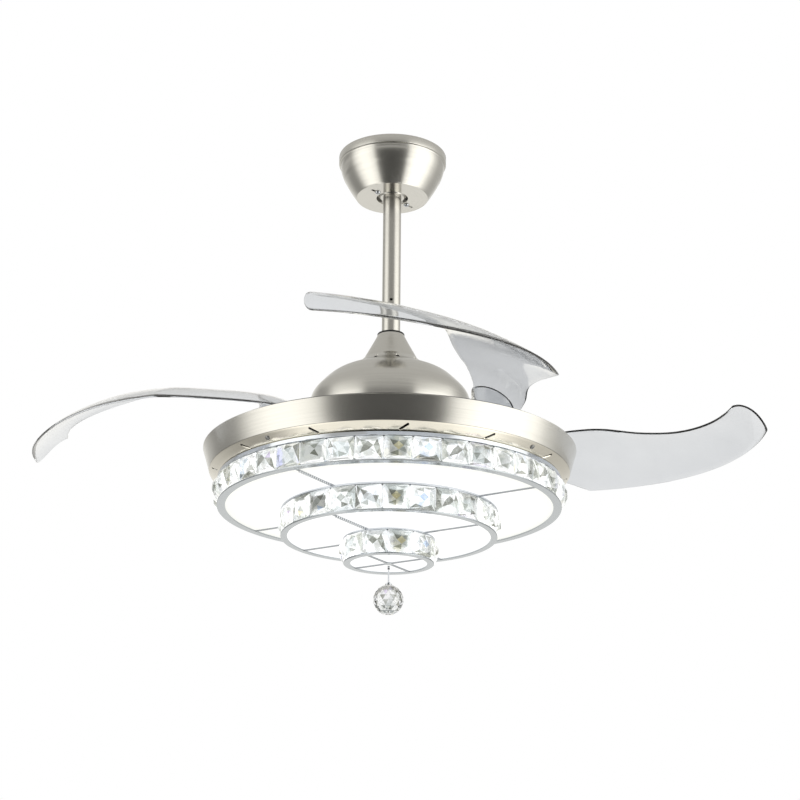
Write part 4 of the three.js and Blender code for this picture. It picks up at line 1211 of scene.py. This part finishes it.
@dataclass
class Blade:
    """One clear blade. Its folded form lies round the dome: angles run clockwise from its pivot."""

    carrier: Carrier
    thickness: float = 2.6
    fold: float = 75.0
    corner: float = 42.0
    tip_length: float = 13.0
    foot: float = 27.0
    foot_wall: float = 3.0
    foot_flare: float = 4.0
    foot_hole: float = 8.0
    screw_circle: float = 15.0
    screw_bearings: tuple[float, ...] = (30, 150, 270)
    screw_head: Point = (3.4, 2.2, 3.6)  # radius, height, and the recess's length
    leading: Sequence[Row] = (
        (-8, 183, 33),
        (0, 166, 43.5),
        (12, 144, 52),
        (26, 126, 57),
        (42, 120, 60),
        (60, 129, 59.5),
        (80, 155, 50),
        (96, 180, 43.5),
        (112, 203, 42),
        (130, 226, 45),
    )
    root: Sequence[Row] = (
        (-8, 197, 27),
        (0, 219, 14),
        (12, 216, 15),
        (25, 210, 18),
        (34, 222, 16),
        (42, 248, 10),
    )
    trailing: Sequence[Row] = (
        (42, 248, 10),
        (60, 246, 8.5),
        (80, 244.5, 6),
        (96, 246.5, 5),
        (112, 254, 7),
        (130, 266, 11),
    )
    camber: Sequence[Row] = ((-8, 0), (26, 5.5), (60, 9), (96, 9.3), (130, 8))

    def edges(self, angle: float) -> tuple[tuple[float, float], tuple[float, float]]:
        """Return the radius and height of both edges at an angle."""
        outer = self.root if angle < self.corner else self.trailing
        inner_edge = smooth(self.leading, angle, 1), smooth(self.leading, angle, 2)
        return inner_edge, (smooth(outer, angle, 1), smooth(outer, angle, 2))

    def height(self, angle: float, radius: float) -> float:
        """Return the height of the middle surface at an angle and a radius."""
        (inner, low), (outer, high) = self.edges(max(angle, self.leading[0][0]))
        share = (radius - inner) / (outer - inner)
        return low + (high - low) * share + 4 * smooth(self.camber, angle, 1) * share * (1 - share)

    def middle(self, angle: float, radius: float) -> Vector:
        """Return a point of the middle surface, seen from the pivot."""
        x, y = polar(radius, -angle)
        return Vector((x - self.carrier.pivot, y, self.height(angle, radius)))

    def normal(self, angle: float, radius: float) -> Vector:
        """Return the middle surface's upward normal."""
        along = self.middle(angle + 0.5, radius) - self.middle(angle - 0.5, radius)
        across = self.middle(angle, radius + 1) - self.middle(angle, radius - 1)
        return across.cross(along).normalized() * -1

    def rows(self) -> list[float]:
        """Return the angles at which the sheet is cut into rows, closer where it is rounded."""
        start, end = self.leading[0][0], self.leading[-1][0]
        tip = math.degrees(self.tip_length / self.trailing[-1][1])
        root = [start + (self.corner - start) * k / 22 for k in range(22)]
        arm = [self.corner + (end - tip - self.corner) * k / 44 for k in range(44)]
        round_tip = [end - tip + tip * math.sin(math.pi * k / 20) for k in range(10)]
        return [*root, *arm, *round_tip, end - 0.02]

    def sheet(self) -> Sketch:
        """Return the curved sheet with rounded edges."""
        end = self.leading[-1][0]
        tip = math.degrees(self.tip_length / self.trailing[-1][1])
        half, across, bend = self.thickness / 2, 14, 4
        loops = []
        for angle in self.rows():
            inner, outer = self.edges(angle)
            past = max(0.0, (angle - end + tip) / tip)
            width = math.sqrt(max(0.0, 1 - past**2))
            shares = [0.6 + (j / across - 0.6) * width for j in range(across + 1)]
            span = [inner[0] + (outer[0] - inner[0]) * share for share in shares]
            middles = [self.middle(angle, radius) for radius in span]
            normals = [self.normal(angle, radius) for radius in span]
            outwards = (middles[-1] - middles[0]).normalized()
            top = [m + n * half for m, n in zip(middles, normals)]
            low = [m - n * half for m, n in zip(middles, normals)]
            turns = [math.pi * k / bend for k in range(1, bend)]
            ends = []
            for at, side, way in ((-1, 1, outwards), (0, -1, -outwards)):
                middle, normal = middles[at], normals[at]
                ends.append(
                    [middle + normal * half * math.cos(t) * side + way * half * math.sin(t) for t in turns]
                )
            loops.append([tuple(p) for p in [*top, *ends[0], *reversed(low), *ends[1]]])
        return Sketch().loops(loops)

    def foot_ring(self, share: float, inwards: float, lift: float = 0.0, radius: float = 0.0) -> list[Point]:
        """Return a ring of the foot's wall.

        Args:
            share: How far it is from the foot's floor (0) up to the sheet (1).
            inwards: How far it lies inside the outer face.
            lift: How far it lies over that height.
            radius: Its radius, where it is a plain circle.

        Returns:
            The ring's points, round the pivot.
        """
        floor, sides, ring = self.carrier.hub_top + 0.3, 56, []
        for k in range(sides):
            bearing = 360 * k / sides
            inland = max(0.0, math.cos(math.radians(bearing + 75))) ** 2
            out = radius or self.foot - 1.6 + share * 0.8 + self.foot_flare * inland * share**3 - inwards
            x, y = polar(out, bearing)
            reach = x + self.carrier.pivot
            top = self.height(-math.degrees(math.atan2(y, reach)), math.hypot(reach, y)) - 0.2
            ring.append((x, y, floor + (top - floor) * share + lift))
        return ring

    def foot_wall_skin(self) -> Sketch:
        """Return the foot: a round cup with a hole in its floor, which flares into the sheet."""
        outer = [self.foot_ring(k / 10, 0) for k in range(11)]
        wall = self.foot_wall
        inner = [self.foot_ring(k / 10, wall, 0 if k else wall) for k in range(10, -1, -1)]
        hole = [self.foot_ring(0, 0, lift, self.foot_hole) for lift in (wall, 0)]
        return Sketch().loops([*outer, *inner, *hole], True)

    def foot_screws(self) -> Sketch:
        """Return the three screws that hold the foot to its hub, with their heads in the cup."""
        floor = self.carrier.hub_top + 0.3 + self.foot_wall
        screws = Sketch()
        for angle in self.screw_bearings:
            x, y = polar(self.screw_circle, angle)
            head = pan_head(*self.screw_head).moved(
                Matrix.Translation((x, y, floor)) @ Matrix.Rotation(math.radians(180), 4, "X")
            )
            screws.join(head)
        return screws

    def build(self) -> None:
        """Build the four blades and settle them on their arms."""
        for number in range(self.carrier.blades):
            place = self.carrier.at_pivot(number) @ Matrix.Rotation(math.radians(self.fold), 4, "Z")
            arm = f"blade_arm_{number + 1}"
            sheet = self.sheet().moved(place).piece(f"clear_blade_{number + 1}", Look.ACRYLIC, 50)
            foot = self.foot_wall_skin().moved(place).piece("foot", Look.ACRYLIC, 50)
            blade = merged(sheet, foot, "UNION", 40)
            settle(blade, arm, Look.ACRYLIC, f"blade_{number + 1}")
            screws = self.foot_screws().moved(place).piece(f"blade_screws_{number + 1}", Look.STEEL, 40)
            settle(screws, arm, Look.STEEL)


# ---------------------------------------------------------------------------
# The light
# ---------------------------------------------------------------------------


@dataclass
class Tier:
    """One step of the light. Radii and depths under the drum's rim are those of the part's source."""

    number: int
    wall: float
    top: float
    bottom: float
    tiles: int
    first_seam: float
    rim: float
    base: float
    proud: float
    lip: float
    hole: float
    post: float
    post_top: float
    next_post: float
    next_base: float
    sheet: float = 1.2
    frame: float = 1.6
    gap: float = 0.3
    opal: float = 2.0
    seam: float = 0.25
    uneven: float = 0.9  # how far a crystal may be tilted, in degrees
    trim_width: float = 3.0
    trim_angles: tuple[float, ...] = (-31.5, 58.5, 148.5)
    beaded_angle: float = -121.5

    @property
    def low(self) -> float:
        """The height of what rests on the bottom frame."""
        return -self.bottom + self.frame + self.gap

    @property
    def crown(self) -> float:
        """The height of the crystals' upper edge, under the rim."""
        return -self.top - self.rim - self.gap

    def body(self) -> Object:
        """Make the plated body: its top plate with the rim turned down over the crystals, wall and post."""
        top, plate, foot = -self.top, -self.top - self.sheet, -self.top - self.rim
        edge = self.base + 2
        profile = [(self.hole, plate), (self.wall - self.sheet, plate), (self.wall - self.sheet, self.low)]
        profile += [(self.wall, self.low), (self.wall, plate), (edge - self.sheet, plate)]
        profile += [(edge - self.sheet, foot), (edge - 0.4, foot), (edge, foot + 0.4)]
        profile += [(edge, top - 0.5), (edge - 0.5, top)]
        if self.post:
            profile += [(self.post, top), (self.post, self.post_top), (self.hole, self.post_top)]
        else:
            profile += [(self.hole, top)]
        return Sketch().turned(profile, 192).piece(f"light_body_{self.number}", Look.BRIGHT)

    def tile(self) -> Object:
        """Make one crystal round the origin: a cushion with an X of ridges in front and a cut back."""
        half_turn = math.pi / self.tiles
        half = (self.base * math.tan(half_turn) - self.seam, (self.crown - self.low) / 2 - self.seam)
        back = (self.wall + self.gap) / math.cos(half_turn) + 0.2 - self.base
        corner = 0.9
        square = [(1, -corner), (1, corner), (corner, 1), (-corner, 1)]
        square += [(-1, corner), (-1, -corner), (-corner, -1), (corner, -1)]
        star = [(0.8, 0), (0.6, 0.6), (0, 0.8), (-0.6, 0.6), (-0.8, 0), (-0.6, -0.6), (0, -0.8), (0.6, -0.6)]
        table = [(0.36, 0), (0, 0.36), (-0.36, 0), (0, -0.36)]
        sketch = Sketch()

        def ring(x: float, outline: Sequence[tuple[float, float]], scale: float = 1.0) -> list[Point]:
            return [(x, a * half[0] * scale, b * half[1] * scale) for a, b in outline]

        points = ring(0, square) + ring(0.6 * self.proud, star) + ring(self.proud, table)
        points += ring(-0.35 * abs(back), square, 0.98) + ring(back, square, 0.5)
        girdle, middle, crown = range(8), range(8, 16), range(16, 20)
        belt, rear = range(20, 28), range(28, 36)
        faces: list[tuple[int, ...]] = [tuple(crown), tuple(reversed(rear))]
        for k in range(8):
            n = (k + 1) % 8
            faces.append((girdle[k], girdle[n], middle[n]))
            faces.append((girdle[n], middle[(n + 1) % 8], middle[n]))
            faces.append((belt[k], belt[n], girdle[n], girdle[k]))
            faces.append((rear[k], rear[n], belt[n], belt[k]))
        for k in range(4):
            n = (k + 1) % 4
            faces.append((middle[2 * k], middle[2 * k + 1], crown[k]))
            faces.append((middle[2 * k + 1], crown[n], crown[k]))
            faces.append((middle[2 * k + 1], middle[2 * n], crown[n]))
        return sketch.add(points, faces).piece("tile", Look.CRYSTAL, 0, True)

    def crystals(self) -> Object:
        """Make the ring of crystals and give each facet painted light: a painted reflection or shade, or a
        painted colour glint.
        """
        step = 360 / self.tiles
        middle = (self.crown + self.low) / 2
        first = self.first_seam + step / 2
        name = f"crystals_{self.number}"
        band = ring_of(name, self.tile(), Look.CRYSTAL, self.tiles, self.base, middle, first, self.uneven)
        return with_painted_facet_light(band)

    def bottom_frame(self) -> tuple[Object, Object]:
        """Make the bottom frame: its lip with the hub, and the trim strips that cross between them."""
        low, high = -self.bottom, -self.bottom + self.frame
        inner, rim = self.wall - self.sheet - self.lip, self.base + 1
        profile = [(inner, low + 0.3), (inner + 0.3, low), (rim - 0.5, low), (rim, low + 0.5)]
        profile += [(rim, high - 0.3), (rim - 0.3, high), (inner + 0.3, high), (inner, high - 0.3)]
        sketch = Sketch().turned(profile, 192)
        hub = self.next_post + self.gap
        if self.next_post:
            sketch.turned([(hub, low), (hub + 4, low), (hub + 4, high), (hub, high)], SMALL)
        else:
            sketch.turned([(0, low), (6, low), (6, high), (0, high)], SMALL)
        start = hub + 1 if self.next_post else 3
        reach = inner + 2 - start
        size = (reach, self.trim_width, self.frame - 0.2)
        bar = Sketch().block(size, (start + reach / 2, 0, (low + high) / 2))
        bars = Sketch()
        for angle in (*self.trim_angles, self.beaded_angle):
            bars.join(bar.moved(Matrix.Rotation(math.radians(angle), 4, "Z")))
        rings = sketch.piece(f"light_frame_{self.number}", Look.TRIM)
        return rings, bars.piece(f"light_strips_{self.number}", Look.STRIP, 0)

    def beads(self) -> Object:
        """Make the row of beads on one of the trim strips."""
        spacing, start = 4.6, self.next_base + 3
        count = int((self.wall - self.sheet - self.lip - start) / spacing)
        arc = [(2.1 * math.cos(a), 2.1 * math.sin(a)) for a in (-1, -0.4, 0.4, 1)]
        bead = Sketch().turned([(0, -2.1), *arc, (0, 2.1)], 10)
        made = ROW.make(
            f"trim_beads_{self.number}",
            bead.piece("bead", Look.CHROME, 40, True),
            Look.CHROME,
            count,
            Start=start * MM,
            Spacing=spacing * MM,
            Height=(-self.bottom + 0.2 - RIM_DEPTH) * MM,
            Bearing=math.radians(self.beaded_angle),
        )
        return made

    def opal_sheet(self) -> Object:
        """Make the lit diffuser, with a softened edge."""
        radius, low, high = self.wall - self.sheet - self.gap, self.low, self.low + self.opal
        hole = self.next_post + self.gap if self.next_post else 0
        profile = [(hole, low), (radius - 0.4, low), (radius, low + 0.4), (radius, high), (hole, high)]
        return Sketch().turned(profile, 160).piece(f"opal_{self.number}", Look.OPAL)

    def build(self) -> None:
        """Build the tier's pieces and settle them."""
        number = self.number
        settle(self.body(), "hanging", Look.BRIGHT, f"tier_body_{number}")
        settle(self.crystals(), "hanging", Look.CRYSTAL, f"crystal_band_{number}")
        rings, strips = self.bottom_frame()
        settle(rings, "hanging", Look.TRIM, f"bottom_frame_{number}")
        settle(strips, "hanging", Look.STRIP)
        settle(self.opal_sheet(), "hanging", Look.OPAL, f"diffuser_{number}")
        if number < 3:
            settle(self.beads(), "hanging", Look.CHROME)


def with_painted_facet_light(piece: Object) -> Object:
    """Give each facet of cut glass painted light, fixed by its number: painted reflection and shade from
    white to dark grey, and a few painted colour glints.
    """
    colours = piece.data.color_attributes.new(FACET_PAINTED_LIGHT, "FLOAT_COLOR", "CORNER")
    # painted reflection and shade, from white down to dark grey
    painted_shades = ("#ffffff", "#fafaf6", "#ffffff", "#d8dcda", "#f4f4f6")
    painted_shades += ("#9fa29a", "#fbfbf8", "#ffffff", "#c4c8c6", "#6c6d64")
    # painted colour glints, where real cut glass splits the light into colour
    painted_glints = {13: "#e8dcae", 47: "#cfd0f2", 101: "#b9cdf0", 149: "#dac9ee"}
    for polygon in piece.data.polygons:
        mark = (polygon.index * FACET_STEP + FACET_START) % FACET_MARKS
        shade = linear(painted_glints.get(mark, painted_shades[mark % len(painted_shades)]))
        for corner in polygon.loop_indices:
            colours.data[corner].color = shade
    return piece


@dataclass
class Pendant:
    """The faceted ball under the light, on its thin link."""

    hook: float = -157.1
    centre: float = -200.0
    radius: float = 20.0
    rod: float = 0.9
    cap: float = 4.4
    cap_height: float = 3.5
    eye: float = 2.6
    pin: float = 0.8
    strap: float = 3.0

    @property
    def cap_low(self) -> float:
        """The height of the cap's underside."""
        return self.centre + math.sqrt(self.radius**2 - self.cap**2) + 0.3

    def link(self) -> Object:
        """Make the eye, the rod and the cap."""
        low, high = self.cap_low, self.cap_low + self.cap_height
        neck = self.hook - self.eye - 1
        profile = [(0, low), (self.cap, low), (self.cap, low + 1.2), (self.cap - 0.8, low + 2.2)]
        profile += [(self.rod + 0.6, high), (self.rod, high + 1), (self.rod, neck), (0, neck)]
        sketch = Sketch().turned(profile, SMALL)
        eye = [(self.pin + 0.3, -self.strap / 2), (self.eye, -self.strap / 2), (self.eye, self.strap / 2)]
        eye += [(self.pin + 0.3, self.strap / 2)]
        ring = Sketch().turned(eye, SMALL).moved(
            Matrix.Translation((0, 0, self.hook)) @ Matrix.Rotation(math.radians(90), 4, "Y")
        )
        sketch.join(ring)
        sketch.block((1.6, 1.6, 2.4), (0, 0, self.hook - self.eye - 0.4))
        return sketch.piece("pendant_hanger", Look.CHROME)

    def ball(self) -> Object:
        """Make the ball: rows of flat facets, each row turned by half a facet."""
        rows, sides = 9, 16
        flat = self.cap_low - 0.3 - self.centre
        points: list[Point] = [(0, 0, -self.radius)]
        for i in range(1, rows):
            climb = math.radians(-90 + 180 * i / rows)
            turn = 180 / sides * (i % 2)
            points += [
                (*polar(self.radius * math.cos(climb), 360 * k / sides + turn), self.radius * math.sin(climb))
                for k in range(sides)
            ]
        points += [(*polar(self.cap, 360 * k / sides + 180 / sides * (rows % 2)), flat) for k in range(sides)]
        start = [1 + sides * i for i in range(rows)]
        faces: list[tuple[int, ...]] = [(0, start[0] + (k + 1) % sides, start[0] + k) for k in range(sides)]
        for i in range(rows - 1):
            shift = (i + 1) % 2
            for k in range(sides):
                n = (k + 1) % sides
                a, b, c, d = start[i] + k, start[i] + n, start[i + 1] + k, start[i + 1] + n
                faces += [(a, b, c), (b, d, c)] if shift == 0 else [(a, b, d), (a, d, c)]
        faces.append(tuple(start[-1] + k for k in range(sides)))
        placed = [(x, y, z + self.centre) for x, y, z in points]
        # its facets get painted reflection, shade and colour glints too
        return with_painted_facet_light(Sketch().add(placed, faces).piece("crystal_ball", Look.PENDANT_GLASS, 0))

    def build(self) -> None:
        """Build both pieces and settle them."""
        settle(self.link(), "pendant", Look.CHROME, "pendant_link")
        settle(self.ball(), "pendant", Look.PENDANT_GLASS, "pendant_ball")


# ---------------------------------------------------------------------------
# What stays as the part's own solids, and the studio
# ---------------------------------------------------------------------------


@dataclass(frozen=True)
class InsideParts:
    """The hidden solids, which keep their shape and get their finish."""

    looks: tuple[tuple[str, Look], ...] = (
        ("ceiling_bracket", Look.STEEL),
        ("receiver_box", Look.WHITE),
        ("ball_pin", Look.STEEL),
        ("yoke_", Look.STEEL),
        ("motor_shaft", Look.STEEL),
        ("shaft_nut", Look.STEEL),
        ("stator_core", Look.CORE),
        ("stator_winding", Look.COPPER),
        ("rotor_", Look.PAINT),
        ("magnet_ring", Look.MAGNET),
        ("lower_bearing", Look.STEEL),
        ("upper_bearing", Look.STEEL),
        ("driver_box", Look.WHITE),
        ("blade_carrier", Look.PAINT),
        ("gear_ring", Look.PLASTIC),
        ("return_spring_", Look.STEEL),
        ("light_board_", Look.BOARD),
    )

    def dress(self, nodes: dict[str, Object]) -> None:
        """Give each solid the finish of its name's start."""
        for name, node in nodes.items():
            for start, look in self.looks:
                if name.startswith(start):
                    repaint(node, look.material)
                    LOG.info("%s: %s", name, look.value.name)


@dataclass
class Studio:
    """The floor, the background, the soft lamps, the tent that the metal mirrors, and the camera."""

    floor_height: float = -2.5
    camera_place: Point = (0.0132, -2.271, -1.1496)
    camera_pitch: float = 19.07
    camera_roll: float = 0.45
    camera_lens: float = 79.5
    lamps: tuple[tuple[str, Point, float], ...] = (
        ("key lamp", (-1.6, -2.2, 0.3), 22),
        ("fill lamp", (1.8, -1.8, -0.6), 16),
    )
    lamp_size: float = 1.4
    lamp_aim: Point = (0, 0, -0.45)
    tent_radius: float = 2.6
    tent_top: float = 1.4
    roof_light: float = 0.62
    gap_light: float = 0.6  # of the dark gap, at the heights that the dome and the rod mirror
    gap_rise: tuple[float, float] = (0.0, 0.2)  # heights between which that light comes up
    gap_fall: tuple[float, float] = (0.6, 0.8)  # and between which it goes
    centre_light: float = 1.0  # of the tent's floor near its axis
    centre_reach: tuple[float, float] = (0.7, 1.7)  # distances between which that light goes
    roof_fade: float = 0.4  # how far under the top the roof's light begins
    # Angle round the fan from +X, and the light there. The viewer, at -90, stands in a dark gap.
    tent_light: tuple[tuple[float, float], ...] = (
        (-180, 1.1),
        (-170, 1.5),
        (-155, 1.7),
        (-140, 1.55),
        (-128, 0.8),
        (-116, 0.16),
        (-90, 0.1),
        (-66, 0.16),
        (-55, 0.9),
        (-44, 1.65),
        (-20, 1.95),
        (0, 1.7),
        (20, 0.85),
        (45, 0.55),
        (90, 1.0),
        (130, 0.6),
        (155, 0.35),
        (175, 0.8),
    )

    def background(self) -> None:
        """Make the world white where the camera, metal or glass sees it, and a plain level elsewhere."""
        world = bpy.context.scene.world or bpy.data.worlds.new("studio")
        bpy.context.scene.world = world
        world.use_nodes = True
        tree = world.node_tree
        tree.nodes.clear()
        path = add_node(tree, "ShaderNodeLightPath")
        direct = maths(tree, "MAXIMUM", path.outputs["Is Camera Ray"], path.outputs["Is Transmission Ray"])
        seen = maths(tree, "MAXIMUM", direct, path.outputs["Is Glossy Ray"])
        strength = add_node(
            tree,
            "ShaderNodeMapRange",
            {"Value": seen, "To Min": 0.65, "To Max": 1.0},
        )
        sky = add_node(
            tree,
            "ShaderNodeBackground",
            {"Color": linear("#ffffff"), "Strength": strength.outputs["Result"]},
        )
        add_node(tree, "ShaderNodeOutputWorld", {"Surface": sky.outputs[0]})

    def floor(self) -> None:
        """Make the pale floor, far below, which keeps the fan's shadow."""
        sketch = Sketch().block((12000, 12000, 20), (0, 0, self.floor_height / MM - 10))
        slab = sketch.piece("floor", Look.WHITE, 0, True)
        made = blank_material("pale floor paint")
        shader = made.node_tree.nodes["Principled BSDF"]
        shader.inputs["Base Color"].default_value = linear("#dcdad4")
        shader.inputs["Roughness"].default_value = 0.7
        repaint(slab, made)

    def tent(self) -> None:
        """Stand a round tent about the fan, seen by glossy rays alone: soft boxes with dark gaps."""
        low, top, out = self.floor_height / MM + 60, self.tent_top / MM, self.tent_radius / MM
        steps = [out * k / 12 for k in range(13)]
        sides = 120
        rows = [[(*polar(max(r, 1), 360 * k / sides), low) for k in range(sides)] for r in steps]
        rows += [[(*polar(max(r, 1), 360 * k / sides), top) for k in range(sides)] for r in reversed(steps)]
        sketch = Sketch()
        for lower, upper in zip(rows, rows[1:]):
            faces = [(k, (k + 1) % sides, sides + (k + 1) % sides, sides + k) for k in range(sides)]
            sketch.add([*lower, *upper], faces)
        cloth = sketch.piece("tent", Look.WHITE, 0, True)
        made = blank_material("tent cloth, lit")
        tree = made.node_tree
        tree.nodes.clear()
        split, radius = about_z(tree)
        turn = maths(tree, "ARCTAN2", split["Y"], split["X"])
        share = add_node(
            tree,
            "ShaderNodeMapRange",
            {"Value": turn, "From Min": -math.pi, "From Max": math.pi},
        )
        light = add_node(tree, "ShaderNodeFloatCurve", {"Value": share.outputs["Result"]})
        curve = light.mapping.curves[0]
        ends = (self.tent_light[0], (180, self.tent_light[0][1]))
        for point, (angle, level) in zip((curve.points[0], curve.points[1]), ends):
            point.location = ((angle + 180) / 360, level / 2)
        for angle, level in self.tent_light[1:]:
            curve.points.new((angle + 180) / 360, level / 2)
        for point in curve.points:
            point.handle_type = "AUTO_CLAMPED"
        light.mapping.update()
        rising = soft_step(tree, split["Z"], *self.gap_rise, 0.0, self.gap_light / 2)
        falling = soft_step(tree, split["Z"], *self.gap_fall, 1.0, 0.0)
        wall = maths(tree, "MAXIMUM", light.outputs[0], maths(tree, "MULTIPLY", rising, falling))
        middle = soft_step(tree, radius, *self.centre_reach, 1.0, 0.0)
        level = add_node(
            tree,
            "ShaderNodeMix",
            {0: middle, 2: wall, 3: self.centre_light / 2},
            data_type="FLOAT",
        )
        roof = soft_step(tree, split["Z"], self.tent_top - self.roof_fade, self.tent_top)
        upward = add_node(
            tree,
            "ShaderNodeMix",
            {0: roof, 2: level.outputs[0], 3: self.roof_light / 2},
            data_type="FLOAT",
        )
        strength = maths(tree, "MULTIPLY", upward.outputs[0], 2.0)
        glow = add_node(tree, "ShaderNodeEmission", {"Color": linear("#fffefa"), "Strength": strength})
        add_node(tree, "ShaderNodeOutputMaterial", {"Surface": glow.outputs[0]})
        repaint(cloth, made)
        for ray in ("camera", "diffuse", "transmission", "volume_scatter", "shadow"):
            setattr(cloth, f"visible_{ray}", False)

    def lamp(self, name: str, place: Point, power: float) -> None:
        """Hang a square area lamp that faces the fan."""
        light = bpy.data.lights.new(name, "AREA")
        light.size = self.lamp_size
        light.energy = power
        lamp = bpy.data.objects.new(name, light)
        lamp.location = place
        lamp.rotation_euler = (Vector(self.lamp_aim) - Vector(place)).to_track_quat("-Z", "Y").to_euler()
        lamp.visible_glossy = False
        lamp.visible_transmission = False
        bpy.context.scene.collection.objects.link(lamp)

    def camera(self) -> None:
        """Set the camera where the photograph was taken from: in front, below, a long lens."""
        lens = bpy.data.cameras.new("camera")
        lens.lens, lens.sensor_width = self.camera_lens, 36
        lens.clip_end = 50
        pitch, roll = math.radians(self.camera_pitch), math.radians(self.camera_roll)
        forward = Vector((0, math.cos(pitch), math.sin(pitch)))
        level, upright = Vector((1, 0, 0)), Vector((0, -math.sin(pitch), math.cos(pitch)))
        right = level * math.cos(roll) + upright * math.sin(roll)
        up = upright * math.cos(roll) - level * math.sin(roll)
        axes = Matrix((right, up, -forward)).transposed().to_4x4()
        eye = bpy.data.objects.new("camera", lens)
        eye.matrix_world = Matrix.Translation(self.camera_place) @ axes
        bpy.context.scene.collection.objects.link(eye)
        bpy.context.scene.camera = eye

    def build(self) -> None:
        """Set everything up."""
        self.camera()
        self.background()
        self.floor()
        self.tent()
        for name, place, power in self.lamps:
            self.lamp(name, place, power)
        scene = bpy.context.scene
        scene.view_settings.view_transform = "Standard"


def main() -> None:
    """Build the fan and its studio."""
    logging.basicConfig(level=logging.INFO, format="%(message)s")
    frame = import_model()
    Studio().build()
    InsideParts().dress(frame["nodes"])
    CeilingSet().build()
    HangingTube().build()
    Dome().build()
    Drum().build()
    carrier = Carrier()
    carrier.build()
    Blade(carrier).build()
    for tier in (
        Tier(
            number=1, wall=221, top=41.9, bottom=79.1, tiles=40, first_seam=-91.55, rim=5, base=228,
            proud=8.5, lip=2, hole=18, post=0, post_top=0, next_post=12, next_base=142.6,
        ),
        Tier(
            number=2, wall=139, top=80.8, bottom=117.2, tiles=26, first_seam=-93.2, rim=2.5, base=142.6,
            proud=5.6, lip=3, hole=5, post=12, post_top=-50.3, next_post=9, next_base=59,
        ),
        Tier(
            number=3, wall=54.5, top=118.0, bottom=152.1, tiles=11, first_seam=-91.6, rim=2, base=59,
            proud=7, lip=2.5, hole=5, post=9, post_top=-82.3, next_post=0, next_base=0,
        ),
    ):
        tier.build()
    Pendant().build()


if __name__ == "__main__":
    main()
